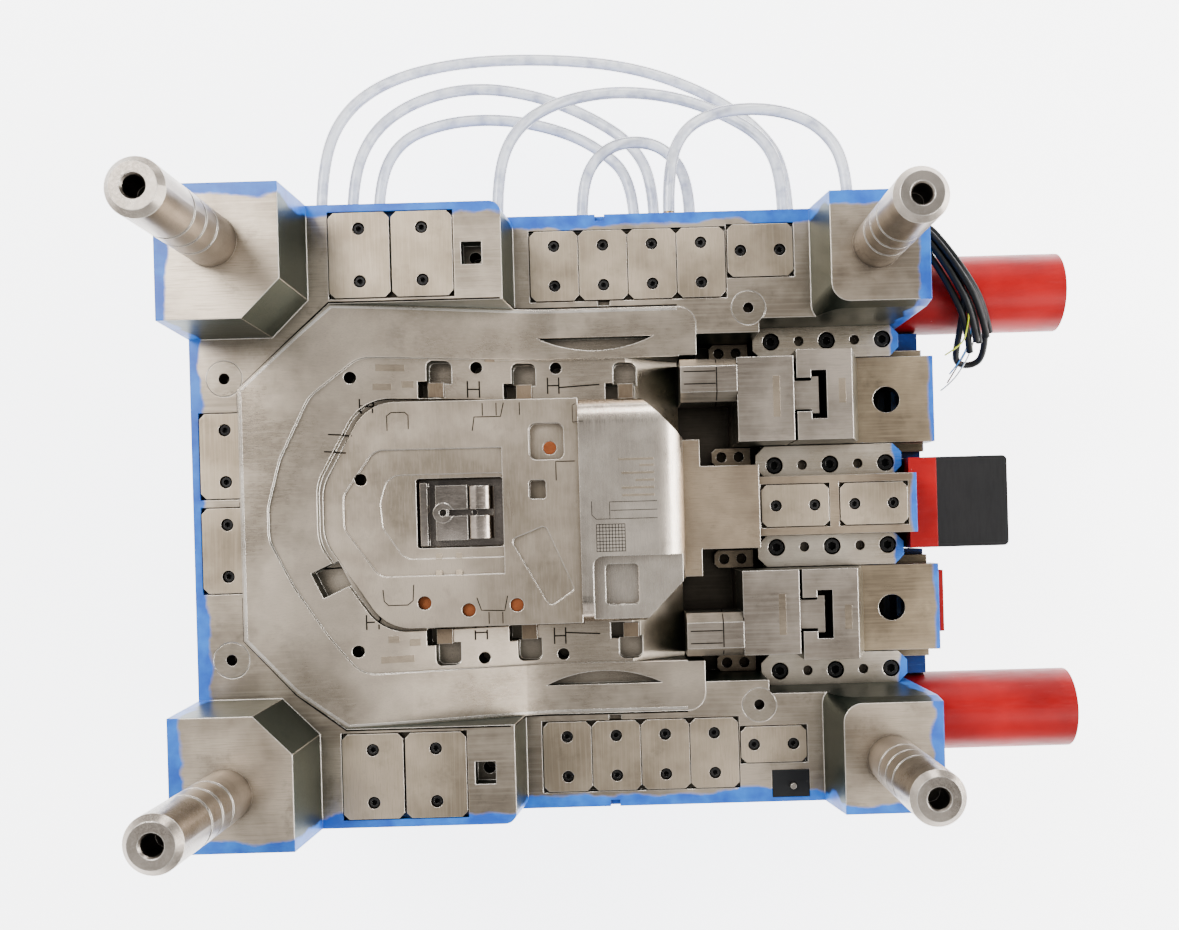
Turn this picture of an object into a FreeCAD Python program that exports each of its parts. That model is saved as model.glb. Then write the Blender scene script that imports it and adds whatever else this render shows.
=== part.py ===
import FreeCAD, Part
import math
import os
import Sketcher
from FreeCAD import Placement, Rotation, Vector

# Moving (core) half of an injection mould, lying on its clamp plate with the parting face up.
# Millimetres.  X runs along the slides, Y across them, Z is the opening direction of the press.
# The origin is the middle of the clamp plate's back face, on the axis of the knockout bore.

doc = FreeCAD.newDocument("mould_half")
sheet = doc.addObject("Spreadsheet::Sheet", "Sizes")

DRIVING_SIZES = [
    # plates, from the press upwards
    ("base_length", 692, "mould base along X"),
    ("base_width", 580, "mould base along Y"),
    ("clamp_thick", 40, "clamp plate"),
    ("clamp_overhang", 30, "clamp plate past the base on both Y sides, for the press clamps"),
    ("spacer_height", 110, "spacer blocks"),
    ("spacer_width", 71, "spacer blocks"),
    ("core_thick", 160, "core plate, from its back to the low parting level"),
    ("terrace_rise", 60, "high parting level above the low one"),
    ("terrace_end", -53, "X where the high level ends, at its top"),
    ("terrace_draft", 6, "how far that end leans out at its foot"),
    ("terrace_round", 11, "outer corners of the high level"),
    # interlock corners
    ("left_lock_rise", 80, "left corner blocks above the high level"),
    ("left_lock_length", 108, "along X, at the top"),
    ("left_lock_width", 118, "along Y, at the top"),
    ("left_lock_bevel", 34, "inner corner cut at 45 degrees"),
    ("right_lock_rise", 62, "right corner blocks above the low level"),
    ("right_lock_length", 93, "along X, at the top"),
    ("right_lock_width", 103, "along Y, at the top"),
    ("right_lock_round", 18, "inner corner"),
    ("left_lock_draft", 4, "lean of the left interlock faces over their height"),
    ("right_lock_draft", 9, "lean of the right interlock faces over their height"),
    # guide pins
    ("pin_edge", 49, "guide pins, in from the plate's ends"),
    ("pin_y", 240, "guide pins from the middle"),
    ("pin_radius", 23, "guide pin"),
    ("pin_reach", 165, "guide pin above its corner block"),
    ("pin_collar_radius", 28, "collar at the back of the core plate"),
    ("pin_collar_height", 12, "collar"),
    ("pin_groove_depth", 1.2, "oil grooves"),
    ("pin_groove_width", 4, "oil grooves"),
    ("pin_nose", 5, "bevel at the tip"),
    ("pin_tap_radius", 8.5, "jacking thread in the tip"),
    ("pin_tap_depth", 30, "jacking thread in the tip"),
    # core
    ("insert_left", -301, "X of the core insert's straight left side"),
    ("insert_floor", 50, "insert pocket floor above the core plate's back"),
    ("insert_half_width", 198, "insert half width"),
    ("insert_lip", 4, "insert above the high parting level"),
    ("insert_rise_end", -215, "X where the insert starts to slope down"),
    ("insert_slope_end", -26, "X where it reaches the low level"),
    ("wing_rise", 14, "shut-off wings above the low level"),
    ("wing_end", 130, "X of the wings' right end"),
    ("wing_inner", 150, "Y of the wings' inner side"),
    ("wing_step", 170, "Y of the wings' inner side along the hollow"),
    ("wing_block", 88, "X where the wings widen to their full width"),
    ("hollow_depth", 13, "crescent hollow, in from the wing's side"),
    ("wing_round", 18, "outer right corner of each wing"),
    ("shutoff", 112.5, "X where insert and slides meet"),
    ("ring_depth", 4, "moulding ring below the sloping face"),
    ("ring_left", -276, "X of the ring's left side"),
    ("ring_half_width", 149, "ring half width"),
    ("ring_round", 30, "blends between the ring's straight stretches"),
    ("ring_right", 84, "X of the ring's right side"),
    ("centre_left", -228, "X of the centre insert's left side"),
    ("centre_half_width", 107, "centre insert half width"),
    ("centre_round", 44, "left corners of the centre insert"),
    ("groove_width", 3.5, "parting groove round the centre insert"),
    ("groove_depth", 8, "parting groove below the ring's floor"),
    ("centre_top", 36, "centre insert above the low level, where it meets the tail"),
    ("centre_fall", 10, "how much higher its left end is"),
    ("terrace_step", 3, "small steps on the centre insert"),
    ("tail_left", 13, "X where the tail insert starts"),
    ("tail_rise", 44, "tail block above the low level"),
    ("tail_crown", 26, "rounding of the tail block's right and outer edges"),
    ("tail_corner", 40, "tail block's corners cut off next to the side slides"),
    ("boss_hole_radius", 5.7, "blind holes that mould bosses"),
    ("boss_hole_depth", 40, "blind holes that mould bosses"),
    # slides
    ("bay_floor", 65, "slideway floor above the core plate's back"),
    ("bay_front", 131, "X where the bay opens out behind the insert"),
    ("bay_front_half", 170.5, "bay half width in front of the gibs"),
    ("bay_gib_start", 192, "X where the long gibs start"),
    ("gib_length", 150, "long gibs"),
    ("gib_width", 32, "long gibs"),
    ("gib_height", 35, "long gibs"),
    ("gib_bevel", 9, "corners of the long gibs"),
    ("gib_lip", 8, "how far the lip reaches over the slide's ear"),
    ("ear_height", 12, "slide ears"),
    ("stem_ear_reach", 6.5, "centre slide ears, out from the stem"),
    ("gib_screw_pitch", 57.3, "M10 gib screws"),
    ("gib_end_margin", 19, "first gib screw from the gib's end"),
    ("slideway_middle", 107, "Y of the side slides"),
    ("slideway_width", 90, "between the gibs"),
    ("front_gib_length", 40, "short gibs"),
    ("front_gib_width", 18, "short gibs"),
    ("front_gib_height", 20, "short gibs"),
    ("slide_gap", 0.05, "running gap on each side of a slide"),
    ("slide_end", 377, "X of the side slides' outer ends"),
    ("slide_top", 105, "side slide blocks above the bay floor"),
    ("slide_block_width", 88, "side slide blocks"),
    ("head_end", 168, "X where a slide's head meets its front block"),
    ("head_inner", 103, "Y of the forming head's inner side"),
    ("head_outer", 145, "Y of the forming head's outer side"),
    ("front_block_end", 223, "X of the front block's end"),
    ("wedge_front", 226, "X of the wedge block's front"),
    ("wedge_end", 280, "X of the wedge block's end at its top"),
    ("wedge_angle", 15, "locking face, degrees"),
    ("tee_neck", 28, "T-head neck width"),
    ("tee_head", 36, "T-head width"),
    ("tee_slot", 47, "T-slot width"),
    ("tee_reach", 248, "X of the T-head's end"),
    ("tee_slot_end", 255, "X of the T-slot's end"),
    ("tee_thick", 7, "T-head along X"),
    ("angle_bore_x", 328, "angle-pin bore, X at the slide's top"),
    ("angle_bore_radius", 13.4, "angle-pin bore"),
    ("angle_pin_lean", 12, "degrees"),
    ("stem_half", 29.5, "centre slide stem, half width"),
    ("stem_top", 75, "centre slide stem above the bay floor"),
    ("stem_end", 347, "X of the stem's end"),
    ("centre_block_end", 189, "X of the centre slide's wide part"),
    ("centre_block_half", 41, "its half width"),
    ("centre_face_end", 131, "X of the centre slide's face block"),
    ("centre_face_half", 67.5, "its half width"),
    ("centre_slide_top", 85, "centre slide above the bay floor"),
    ("face_wing_floor", 22, "underside of the face block's wings above the bay floor"),
    ("tongue_floor", 49, "underside of the stem's tongue above the bay floor"),
    ("tongue_start", 298, "X where the tongue starts"),
    ("rod_radius", 12, "cylinder rod"),
    ("rod_axis", 9, "rod axis above the bay floor"),
    ("bracket_depth", 28.5, "cylinder bracket, out from the base"),
    ("bracket_half", 46, "bracket and cylinder half width"),
    ("bracket_height", 96, "bracket"),
    ("cylinder_length", 72, "cylinder body"),
    ("cylinder_height", 78, "cylinder body"),
    ("rest_depth", 24, "slide rest, out from the base"),
    ("rest_height", 58, "slide rest"),
    # ejection
    ("ejector_thick", 25, "ejector plate"),
    ("retainer_thick", 20, "ejector retainer plate"),
    ("ejector_half_width", 216, "ejector plates"),
    ("ejector_inset", 26, "ejector plates, in from the base's ends"),
    ("stop_height", 5, "stop buttons"),
    ("stop_radius", 12, "stop buttons"),
    ("ejector_pin_radius", 6.2, "ejector pins"),
    ("ejector_pin_head", 10, "ejector pin head radius"),
    ("head_height", 6, "heads of ejector and return pins"),
    ("bore_gap", 0.3, "air round ejector pins, return pins and lifters"),
    ("return_radius", 16.5, "return pins"),
    ("return_head", 18.5, "return pin head radius"),
    ("return_tap_radius", 5.2, "thread in the return pin's face"),
    ("return_left_edge", 32, "left return pins, in from the plate's end"),
    ("return_left_y", 131, "left return pins"),
    ("return_right_x", 182, "right return pins"),
    ("return_right_y", 194.6, "right return pins"),
    ("lifter_length", 15, "lifter section along X"),
    ("lifter_width", 14, "lifter section along Y"),
    ("lifter_lean", 7, "lifters lean towards -X as they rise, degrees"),
    ("lifter_foot", 26, "lifter foot along X"),
    ("lifter_foot_height", 10, "lifter foot"),
    ("lifter_shift", 7, "room for the foot to slide along X"),
    ("pillar_radius", 22, "support pillars"),
    ("ejector_guide_radius", 12, "ejector guide pins"),
    ("knockout_radius", 25, "knockout bore in the clamp plate"),
    # wear plates and other small pieces on the parting face
    ("plate_sink", 8, "depth of the wear plate pockets"),
    ("plate_proud", 1, "wear plates above the parting face"),
    ("plate_bevel", 5, "corners of the wear plates"),
    ("plate_gap", 1, "round the wear plates"),
    ("tall_plate_length", 56.5, "high level wear plates, X"),
    ("tall_plate_width", 79, "high level wear plates, Y"),
    ("tall_plate_x", -185.2, "first high level wear plate"),
    ("tall_plate_pitch", 58.5, "second one from the first"),
    ("tall_plate_y", 242.4, "high level wear plates"),
    ("tall_screw_pitch", 49, "their screws"),
    ("low_plate_length", 47, "low level wear plates, X"),
    ("low_plate_width", 68, "low level wear plates, Y"),
    ("low_plate_x", -7.1, "first low level wear plate"),
    ("low_plate_pitch", 48, "low level wear plates"),
    ("low_plate_y", 240.3, "low level wear plates"),
    ("low_screw_pitch", 39, "their screws"),
    ("end_plate_length", 64, "end wear plates, X"),
    ("end_plate_x", 195, "end wear plates"),
    ("end_screw_pitch", 38.5, "their screws"),
    ("upper_end_plate_width", 51, "upper end wear plate"),
    ("upper_end_plate_y", 250.6, "upper end wear plate"),
    ("lower_end_plate_width", 35, "lower end wear plate"),
    ("lower_end_plate_y", -233.5, "lower end wear plate"),
    ("side_plate_edge", 8, "left wear plates, in from the plate's end"),
    ("side_screw_x", -314.6, "their screws"),
    ("side_plate_middle", 15, "Y halfway between the left wear plates"),
    ("side_plate_pitch", 88, "left wear plates"),
    ("side_screw_pitch", 48.3, "their screws"),
    ("stem_plate_length", 67, "stem wear plates, X"),
    ("stem_plate_width", 41.5, "stem wear plates, Y"),
    ("stem_plate_x", 225.6, "first stem wear plate"),
    ("stem_plate_pitch", 78.4, "second one from the first"),
    ("small_screw_radius", 2.9, "M6 shank, thread left out"),
    ("small_head_radius", 5, "M6 cap head"),
    ("small_head_height", 6, "M6 cap head"),
    ("small_screw_grip", 12, "M6 thread in the plate below"),
    ("gib_screw_radius", 4.9, "M10 shank, thread left out"),
    ("gib_head_radius", 8, "M10 cap head"),
    ("gib_head_height", 10, "M10 cap head"),
    ("head_room", 0.8, "counterbore round a cap head"),
    ("head_sink", 1.5, "cap heads below the face"),
    ("dowel_radius", 5, "dowel holes in the long gibs"),
    ("counter_x", 210.8, "mould counter"),
    ("counter_y", -272.3, "mould counter"),
    ("counter_length", 36.5, "mould counter"),
    ("counter_width", 26.5, "mould counter"),
    ("counter_depth", 24, "mould counter"),
    ("plunger_radius", 3, "counter plunger"),
    ("plunger_reach", 4, "counter plunger above the counter"),
    # outside
    ("leg_radius", 41, "support legs"),
    ("leg_length", 175, "support legs, out from the base"),
    ("leg_y", 221.5, "support legs"),
    ("leg_axis", 50, "leg axis above the core plate's back"),
    ("nipple_radius", 5, "hose nipples"),
    ("nipple_reach", 12, "hose nipples out from the base"),
    ("nipple_hex_radius", 9, "nipple hexagon, across corners"),
    ("hose_radius", 6, "clear hoses"),
    ("hank_radius", 9, "bundle of black cables"),
]


class Size:
    """A number in millimetres that remembers the spreadsheet rule it comes from."""

    def __init__(self, value, rule):
        self.value = value
        self.rule = rule

    def __float__(self):
        return float(self.value)

    def __neg__(self):
        return Size(-self.value, "(0 - %s)" % self.rule)

    def __add__(self, other):
        return Size(self.value + float(other), "(%s + %s)" % (self.rule, rule_of(other)))

    def __radd__(self, other):
        return self + other

    def __sub__(self, other):
        return self + (-other)

    def __rsub__(self, other):
        return (-self) + other

    def __mul__(self, factor):
        return Size(self.value * float(factor), "(%s * %s)" % (self.rule, rule_of(factor)))

    def __rmul__(self, factor):
        return self * factor

    def __truediv__(self, factor):
        return Size(self.value / float(factor), "(%s / %s)" % (self.rule, rule_of(factor)))


def rule_of(number):
    return number.rule if isinstance(number, Size) else "(%.6f)" % number


def tangent(angle):
    return Size(math.tan(math.radians(float(angle))), "tan(%s * 1 deg)" % rule_of(angle))


def bind(thing, path, number):
    """Tie a property to the spreadsheet; a plain number is only set."""
    if isinstance(number, Size):
        thing.setExpression(path, number.rule)
    else:
        setattr(thing, path, number)


class Sizes:
    """The driving sizes, each as an attribute: mm.base_length."""

    def __init__(self):
        for row, (alias, value, note) in enumerate(DRIVING_SIZES, start=1):
            sheet.set("A%d" % row, note)
            sheet.set("B%d" % row, str(value))
            sheet.setAlias("B%d" % row, alias)
            setattr(self, alias, Size(value, "Sizes.%s" % alias))


mm = Sizes()
doc.recompute()

nodes = {}


# ---------------------------------------------------------------- making shapes

def place(thing, x=0, y=0, z=0, turn=None):
    """Put a thing where it belongs; turn is (axis, degrees)."""
    rotation = Rotation(Vector(*turn[0]), turn[1]) if turn else Rotation()
    thing.Placement = Placement(Vector(float(x), float(y), float(z)), rotation)
    for letter, number in (("x", x), ("y", y), ("z", z)):
        rule = number.rule if isinstance(number, Size) else None
        thing.setExpression("Placement.Base.%s" % letter, rule)
    return thing


def box(name, x0, x1, y0, y1, z0, z1):
    thing = doc.addObject("Part::Box", name)
    bind(thing, "Length", x1 - x0)
    bind(thing, "Width", y1 - y0)
    bind(thing, "Height", z1 - z0)
    return place(thing, x0, y0, z0)


def rod(name, radius, x, y, z0, z1):
    """An upright cylinder from z0 to z1."""
    thing = doc.addObject("Part::Cylinder", name)
    bind(thing, "Radius", radius)
    bind(thing, "Height", z1 - z0)
    return place(thing, x, y, z0)


def rod_x(name, radius, x0, x1, y, z):
    """A cylinder lying along X."""
    thing = doc.addObject("Part::Cylinder", name)
    bind(thing, "Radius", radius)
    bind(thing, "Height", x1 - x0)
    return place(thing, x0, y, z, ((0, 1, 0), 90))


def outline(body, name, corners):
    """A closed sketch on the body's XY plane, each corner tied to its two sizes."""
    sketch = body.newObject("Sketcher::SketchObject", name)
    plane = next(f for f in body.Origin.OriginFeatures if f.Role == "XY_Plane")
    sketch.AttachmentSupport = [(plane, "")]
    sketch.MapMode = "FlatFace"
    points = [Vector(float(x), float(y), 0) for x, y in corners]
    count = len(points)
    for i in range(count):
        sketch.addGeometry(Part.LineSegment(points[i], points[(i + 1) % count]), False)
    for i in range(count):
        sketch.addConstraint(Sketcher.Constraint("Coincident", i, 2, (i + 1) % count, 1))
    for i, corner in enumerate(corners):
        for kind, number in zip(("DistanceX", "DistanceY"), corner):
            index = sketch.addConstraint(Sketcher.Constraint(kind, -1, 1, i, 1, float(number)))
            if isinstance(number, Size):
                label = "%s%d" % (kind[-1].lower(), i)
                sketch.renameConstraint(index, label)
                sketch.setExpression("Constraints.%s" % label, number.rule)
    return sketch


def upright_edges(shape, x, y):
    """Names of the edges that run up from the corner at x, y, drafted ones too."""
    lowest = shape.BoundBox.ZMin
    found = []
    for number, edge in enumerate(shape.Edges, start=1):
        ends = [v.Point for v in edge.Vertexes]
        if len(ends) != 2 or abs(ends[0].z - ends[1].z) < 0.5 * shape.BoundBox.ZLength:
            continue
        foot = min(ends, key=lambda p: p.z)
        if abs(foot.z - lowest) < 0.01 and math.hypot(foot.x - float(x), foot.y - float(y)) < 0.01:
            found.append("Edge%d" % number)
    return found


def soften(body, kind, base, corners, size):
    """Round or bevel the upright edges at the given corners."""
    doc.recompute()
    names = []
    for x, y in corners:
        names += upright_edges(base.Shape, x, y)
    feature = body.newObject("PartDesign::%s" % kind, "%s_%s" % (body.Name, kind))
    feature.Base = (base, names)
    bind(feature, "Radius" if kind == "Fillet" else "Size", size)
    body.Tip = feature
    return feature


def prism(name, corners, z0, z1, rounds=(), bevels=()):
    """A plate: an outline padded from z0 to z1, with corners rounded or bevelled by number."""
    body = doc.addObject("PartDesign::Body", name)
    feature = body.newObject("PartDesign::Pad", name + "_pad")
    feature.Profile = outline(body, name + "_outline", corners)
    bind(feature, "Length", z1 - z0)
    for kind, groups in (("Fillet", rounds), ("Chamfer", bevels)):
        for numbers, size in groups:
            feature = soften(body, kind, feature, [corners[i] for i in numbers], size)
    return place(body, 0, 0, z0)


def rectangle(x0, x1, y0, y1):
    return [(x0, y0), (x1, y0), (x1, y1), (x0, y1)]


def profile(name, corners, y0, y1, rounds=()):
    """A prism whose outline is seen from the front: corners are (x, z), depth y0 to y1."""
    body = prism(name, corners, y0, y1, rounds)
    return place(body, 0, y1, 0, ((1, 0, 0), 90))


def turned(name, corners):
    """A turned piece about Z: corners are (radius, height)."""
    body = doc.addObject("PartDesign::Body", name)
    sketch = outline(body, name + "_half", corners)
    spin = body.newObject("PartDesign::Revolution", name + "_spin")
    spin.Profile = sketch
    spin.ReferenceAxis = (sketch, ["V_Axis"])
    spin.Angle = 360
    body.Tip = spin
    return place(body, turn=((1, 0, 0), 90))


def drafted(name, foot, top, z0, z1, rounds=()):
    """A block that leans in from its foot outline to its top outline."""
    body = doc.addObject("PartDesign::Body", name)
    low = outline(body, name + "_foot", foot)
    high = outline(body, name + "_top", top)
    bind(high, "AttachmentOffset.Base.z", z1 - z0)
    loft = body.newObject("PartDesign::AdditiveLoft", name + "_loft")
    loft.Profile = low
    loft.Sections = [high]
    loft.Ruled = True
    body.Tip = loft
    feature = loft
    for numbers, size in rounds:
        feature = soften(body, "Fillet", feature, [foot[i] for i in numbers], size)
    return place(body, 0, 0, z0)


def copy_at(name, master, x, y, z, turn=None):
    """Another of the same piece, moved to x, y, z."""
    link = doc.addObject("App::Link", name)
    link.LinkedObject = master
    place(link, x, y, z, turn)
    return link


def group(name, things):
    thing = doc.addObject("Part::Compound", name)
    thing.Links = things
    return thing


def fuse(name, things):
    thing = doc.addObject("Part::MultiFuse", name)
    thing.Shapes = things
    return thing


def common(name, things):
    thing = doc.addObject("Part::MultiCommon", name)
    thing.Shapes = things
    return thing


def cut(name, base, tools):
    thing = doc.addObject("Part::Cut", name)
    thing.Base = base
    thing.Tool = tools[0] if len(tools) == 1 else group(name + "_tools", tools)
    return thing


def mirrored(name, source):
    """The same thing on the other side of the XZ plane."""
    thing = doc.addObject("Part::Mirroring", name)
    thing.Source = source
    thing.Normal = (0, 1, 0)
    return thing


def both_sides(name, thing):
    return [thing, mirrored(name + "_lower", thing)]


def node(name, thing):
    """Keep a finished piece under the name that its file gets."""
    thing.Label = name
    nodes[name] = thing
    return thing


# ---------------------------------------------------------------- levels

half_length = mm.base_length / 2
pin_x = half_length - mm.pin_edge
bracket_end = half_length + mm.bracket_depth
side_plate_left = -(half_length - mm.side_plate_edge)
return_left_x = -(half_length - mm.return_left_edge)
ejector_half_length = half_length - mm.ejector_inset
half_width = mm.base_width / 2
core_back = mm.clamp_thick + mm.spacer_height
low_face = core_back + mm.core_thick
high_face = low_face + mm.terrace_rise
left_lock_top = high_face + mm.left_lock_rise
right_lock_top = low_face + mm.right_lock_rise
insert_back = core_back + mm.insert_floor
insert_top = high_face + mm.insert_lip
bay_floor = core_back + mm.bay_floor
gib_top = bay_floor + mm.gib_height
slide_top = bay_floor + mm.slide_top
stem_top = bay_floor + mm.stem_top
saddle_floor = low_face + mm.centre_top - 14
ejector_back = mm.clamp_thick + mm.stop_height
retainer_back = ejector_back + mm.ejector_thick
retainer_front = retainer_back + mm.retainer_thick
bay_gib_half = mm.slideway_middle + mm.slideway_width / 2 + mm.gib_width
gib_inner_y = mm.slideway_middle - mm.slideway_width / 2
gib_outer_y = mm.slideway_middle + mm.slideway_width / 2
clear = 1.0     # how far a cutting tool stands past the face it opens
ABOVE = left_lock_top + clear


# ---------------------------------------------------------------- shared outlines

def insert_corners():
    """Plan of the core insert; its pocket in the core plate has the same one."""
    left = mm.insert_left
    half = mm.insert_half_width
    return [
        (left, -(half - 85)), (left + 48, -(half - 33)), (left + 92, -half),
        (mm.wing_end, -half), (mm.wing_end, -mm.wing_inner),
        (mm.shutoff, -mm.wing_inner), (mm.shutoff, mm.wing_inner),
        (mm.wing_end, mm.wing_inner), (mm.wing_end, half),
        (left + 86, half), (left + 56, half - 27), (left, half - 78),
    ]


def face_corners(drop):
    """Side view of everything below the insert's sloping face, lowered by drop."""
    left = mm.insert_left - clear
    right = mm.wing_end + clear
    return [
        (left, insert_back - clear), (right, insert_back - clear), (right, low_face - drop),
        (mm.insert_slope_end, low_face - drop), (mm.insert_rise_end, insert_top - drop),
        (left, insert_top - drop),
    ]


FACE_BLENDS = [((3,), 120), ((4,), 420)]


def centre_corners(grow=0):
    """Plan of the centre insert, wider by grow for the groove round it."""
    left = mm.centre_left - grow
    half = mm.centre_half_width + grow
    return [
        (mm.tail_left, -half), (mm.tail_left, half), (left + 42, half), (left, half - 79),
        (left, -(half - 85)), (left + 56, -half),
    ]


CENTRE_CURVES = [((2, 3, 4, 5), mm.centre_round)]


def ring_corners():
    """Plan of the moulding ring."""
    left, half = mm.ring_left, mm.ring_half_width
    return [
        (mm.ring_right, -half), (mm.ring_right, half), (left + 86, half), (left + 40, half - 37),
        (left + 12, half - 94), (left, half - 139), (left, -(half - 129)),
        (left + 22, -(half - 84)), (left + 51, -(half - 39)), (left + 81, -half),
    ]


def tail_corners():
    """Plan of the tail insert and of the pocket that it sits in."""
    half, cut_off = mm.centre_half_width, mm.tail_corner
    left, right = mm.tail_left, mm.shutoff
    return [
        (left, -half), (right - cut_off, -half), (right, -(half - cut_off)),
        (right, half - cut_off), (right - cut_off, half), (left, half),
    ]


# Lifters: (name, x, y) of the head's middle on the ring's floor.
LIFTERS = [
    ("upper_left", -119, 119), ("upper_middle", -40, 118), ("upper_right", 59, 117),
    ("lower_left", -117, -117), ("lower_middle", -41, -117), ("lower_right", 58, -118),
]
# Ejector pins, on the centre insert.
EJECTOR_PINS = [(-14.8, 60.6), (-136.3, -83.7), (-94.8, -91.5), (-49.3, -88)]
BOSS_HOLES = [(-199, 130), (-84.5, 141), (-8.7, 141), (-198, -127), (-84, -139.6), (-8.6, -140)]
pillar_x = ejector_half_length - 110
PILLARS = [(-pillar_x, 0), (-30, 0), (150, 0), (-pillar_x, -160), (-pillar_x, 160)]
ejector_post_x = ejector_half_length - 35
EJECTOR_GUIDES = [(ejector_post_x * i, 60 * k) for i in (-1, 1) for k in (-1, 1)]
STOP_BUTTONS = [((ejector_post_x + 5) * i, 180 * k) for i in (-1, 0, 1) for k in (-1, 1)]


def lifter_bar(name, x, y, gap, z0, z1):
    """The leaning bar of a lifter between two levels, thicker by gap all round."""
    lean = tangent(mm.lifter_lean)
    head = low_face
    half = mm.lifter_length / 2 + gap
    corners = []
    for z, side in ((z0, -1), (z0, 1), (z1, 1), (z1, -1)):
        corners.append((x + (head - z) * lean + half * side, z))
    return profile(name, corners, y - mm.lifter_width / 2 - gap, y + mm.lifter_width / 2 + gap)


def screw_spots():
    """X, Y and face level of every M6 screw in the wear plates on the core plate."""
    spots = []
    for side in (1, -1):
        for k in range(2):
            x = mm.tall_plate_x + mm.tall_plate_pitch * k
            for step in (-0.5, 0.5):
                spots.append((x, mm.tall_plate_y * side + mm.tall_screw_pitch * step, high_face))
            y = mm.side_plate_middle + mm.side_plate_pitch * (side * 0.5)
            step = mm.side_screw_pitch * (k - 0.5)
            spots.append((mm.side_screw_x, y + step, high_face))
        for k in range(4):
            x = mm.low_plate_x + mm.low_plate_pitch * k
            for step in (-0.5, 0.5):
                spots.append((x, mm.low_plate_y * side + mm.low_screw_pitch * step, low_face))
    for y in (mm.upper_end_plate_y, mm.lower_end_plate_y):
        for step in (-0.5, 0.5):
            spots.append((mm.end_plate_x + mm.end_screw_pitch * step, y, low_face))
    return spots


def gib_screw_spots():
    """X, Y of the M10 screws in the long gibs."""
    spots = []
    for side in (1, -1):
        for y in (gib_inner_y - mm.gib_width * 0.62, gib_outer_y + mm.gib_width * 0.55):
            for k in range(3):
                x = mm.bay_gib_start + mm.gib_end_margin + mm.gib_screw_pitch * k
                spots.append((x, y * side))
    return spots


def box_about(name, x, length, y, width, z0, z1):
    """A box given by its middle and its lengths in plan."""
    return box(name, x - length / 2, x + length / 2, y - width / 2, y + width / 2, z0, z1)


def slope_level(x):
    """Height of the insert's sloping face at x."""
    if float(x) > float(mm.insert_slope_end):
        return low_face
    if float(x) < float(mm.insert_rise_end):
        return insert_top
    fall = (insert_top - low_face) / (mm.insert_slope_end - mm.insert_rise_end)
    return insert_top - (x - mm.insert_rise_end) * fall


def cross_section(name, corners, x0, x1, rounds=()):
    """A prism whose outline is seen along X: corners are (y, z)."""
    body = prism(name, corners, x0, x1, rounds)
    return place(body, x0, 0, 0, ((1, 1, 1), 120))


# ---------------------------------------------------------------- back of the mould

def clamp_plate():
    """Flat plate that the press clamps by its two overhanging sides."""
    reach = half_width + mm.clamp_overhang
    plate = prism("clamp_blank", rectangle(-half_length, half_length, -reach, reach), 0,
                  mm.clamp_thick)
    tools = [rod("knockout_bore", mm.knockout_radius, 0, 0, -clear, mm.clamp_thick + clear)]
    tools += clamp_screws_at(mm.head_room, "clamp_hole")
    return cut("clamp_plate", plate, tools)


def clamp_screws_at(gap, name):
    """M16 screws up through clamp plate and spacers, or their holes, wider by gap."""
    head, head_height, shank = mm_clamp_head + gap, mm_clamp_head_height, mm_clamp_shank
    start = 3 - (clear + 3 if gap else 0)
    top = core_back + 30
    master = turned(name, [(0, start), (head, start), (head, head_height + 3),
                           (shank, head_height + 3), (shank, top), (0, top)])
    spots = [(x, y) for x in (-210, -70, 70, 210) for y in (-1, 1)]
    y_line = half_width - mm.spacer_width / 2
    return [copy_at("%s_%d" % (name, i), master, x, y_line * side, 0, ((1, 0, 0), 90))
            for i, (x, side) in enumerate(spots)]


mm_clamp_head = 12
mm_clamp_head_height = 16
mm_clamp_shank = 8


def spacers():
    """The two rails that leave room for the ejector plates."""
    upper = box("spacer_blank", -half_length, half_length, half_width - mm.spacer_width,
                half_width, mm.clamp_thick, core_back)
    holes = clamp_screws_at(0, "spacer_hole")
    node("spacers", cut("spacers", group("spacer_blanks", both_sides("spacer_blank", upper)), holes))


def ejector_box():
    """Pieces between clamp plate and core plate that stay put."""
    pillars = [rod("pillar_%d" % i, mm.pillar_radius, x, y, mm.clamp_thick, core_back)
               for i, (x, y) in enumerate(PILLARS)]
    node("support_pillars", group("support_pillars", pillars))
    buttons = [rod("button_%d" % i, mm.stop_radius, x, y, mm.clamp_thick, ejector_back)
               for i, (x, y) in enumerate(STOP_BUTTONS)]
    node("stop_buttons", group("stop_buttons", buttons))
    guides = [rod("guide_%d" % i, mm.ejector_guide_radius, x, y, mm.clamp_thick, core_back + 20)
              for i, (x, y) in enumerate(EJECTOR_GUIDES)]
    node("ejector_guide_pins", group("ejector_guide_pins", guides))


# ---------------------------------------------------------------- core plate

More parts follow.
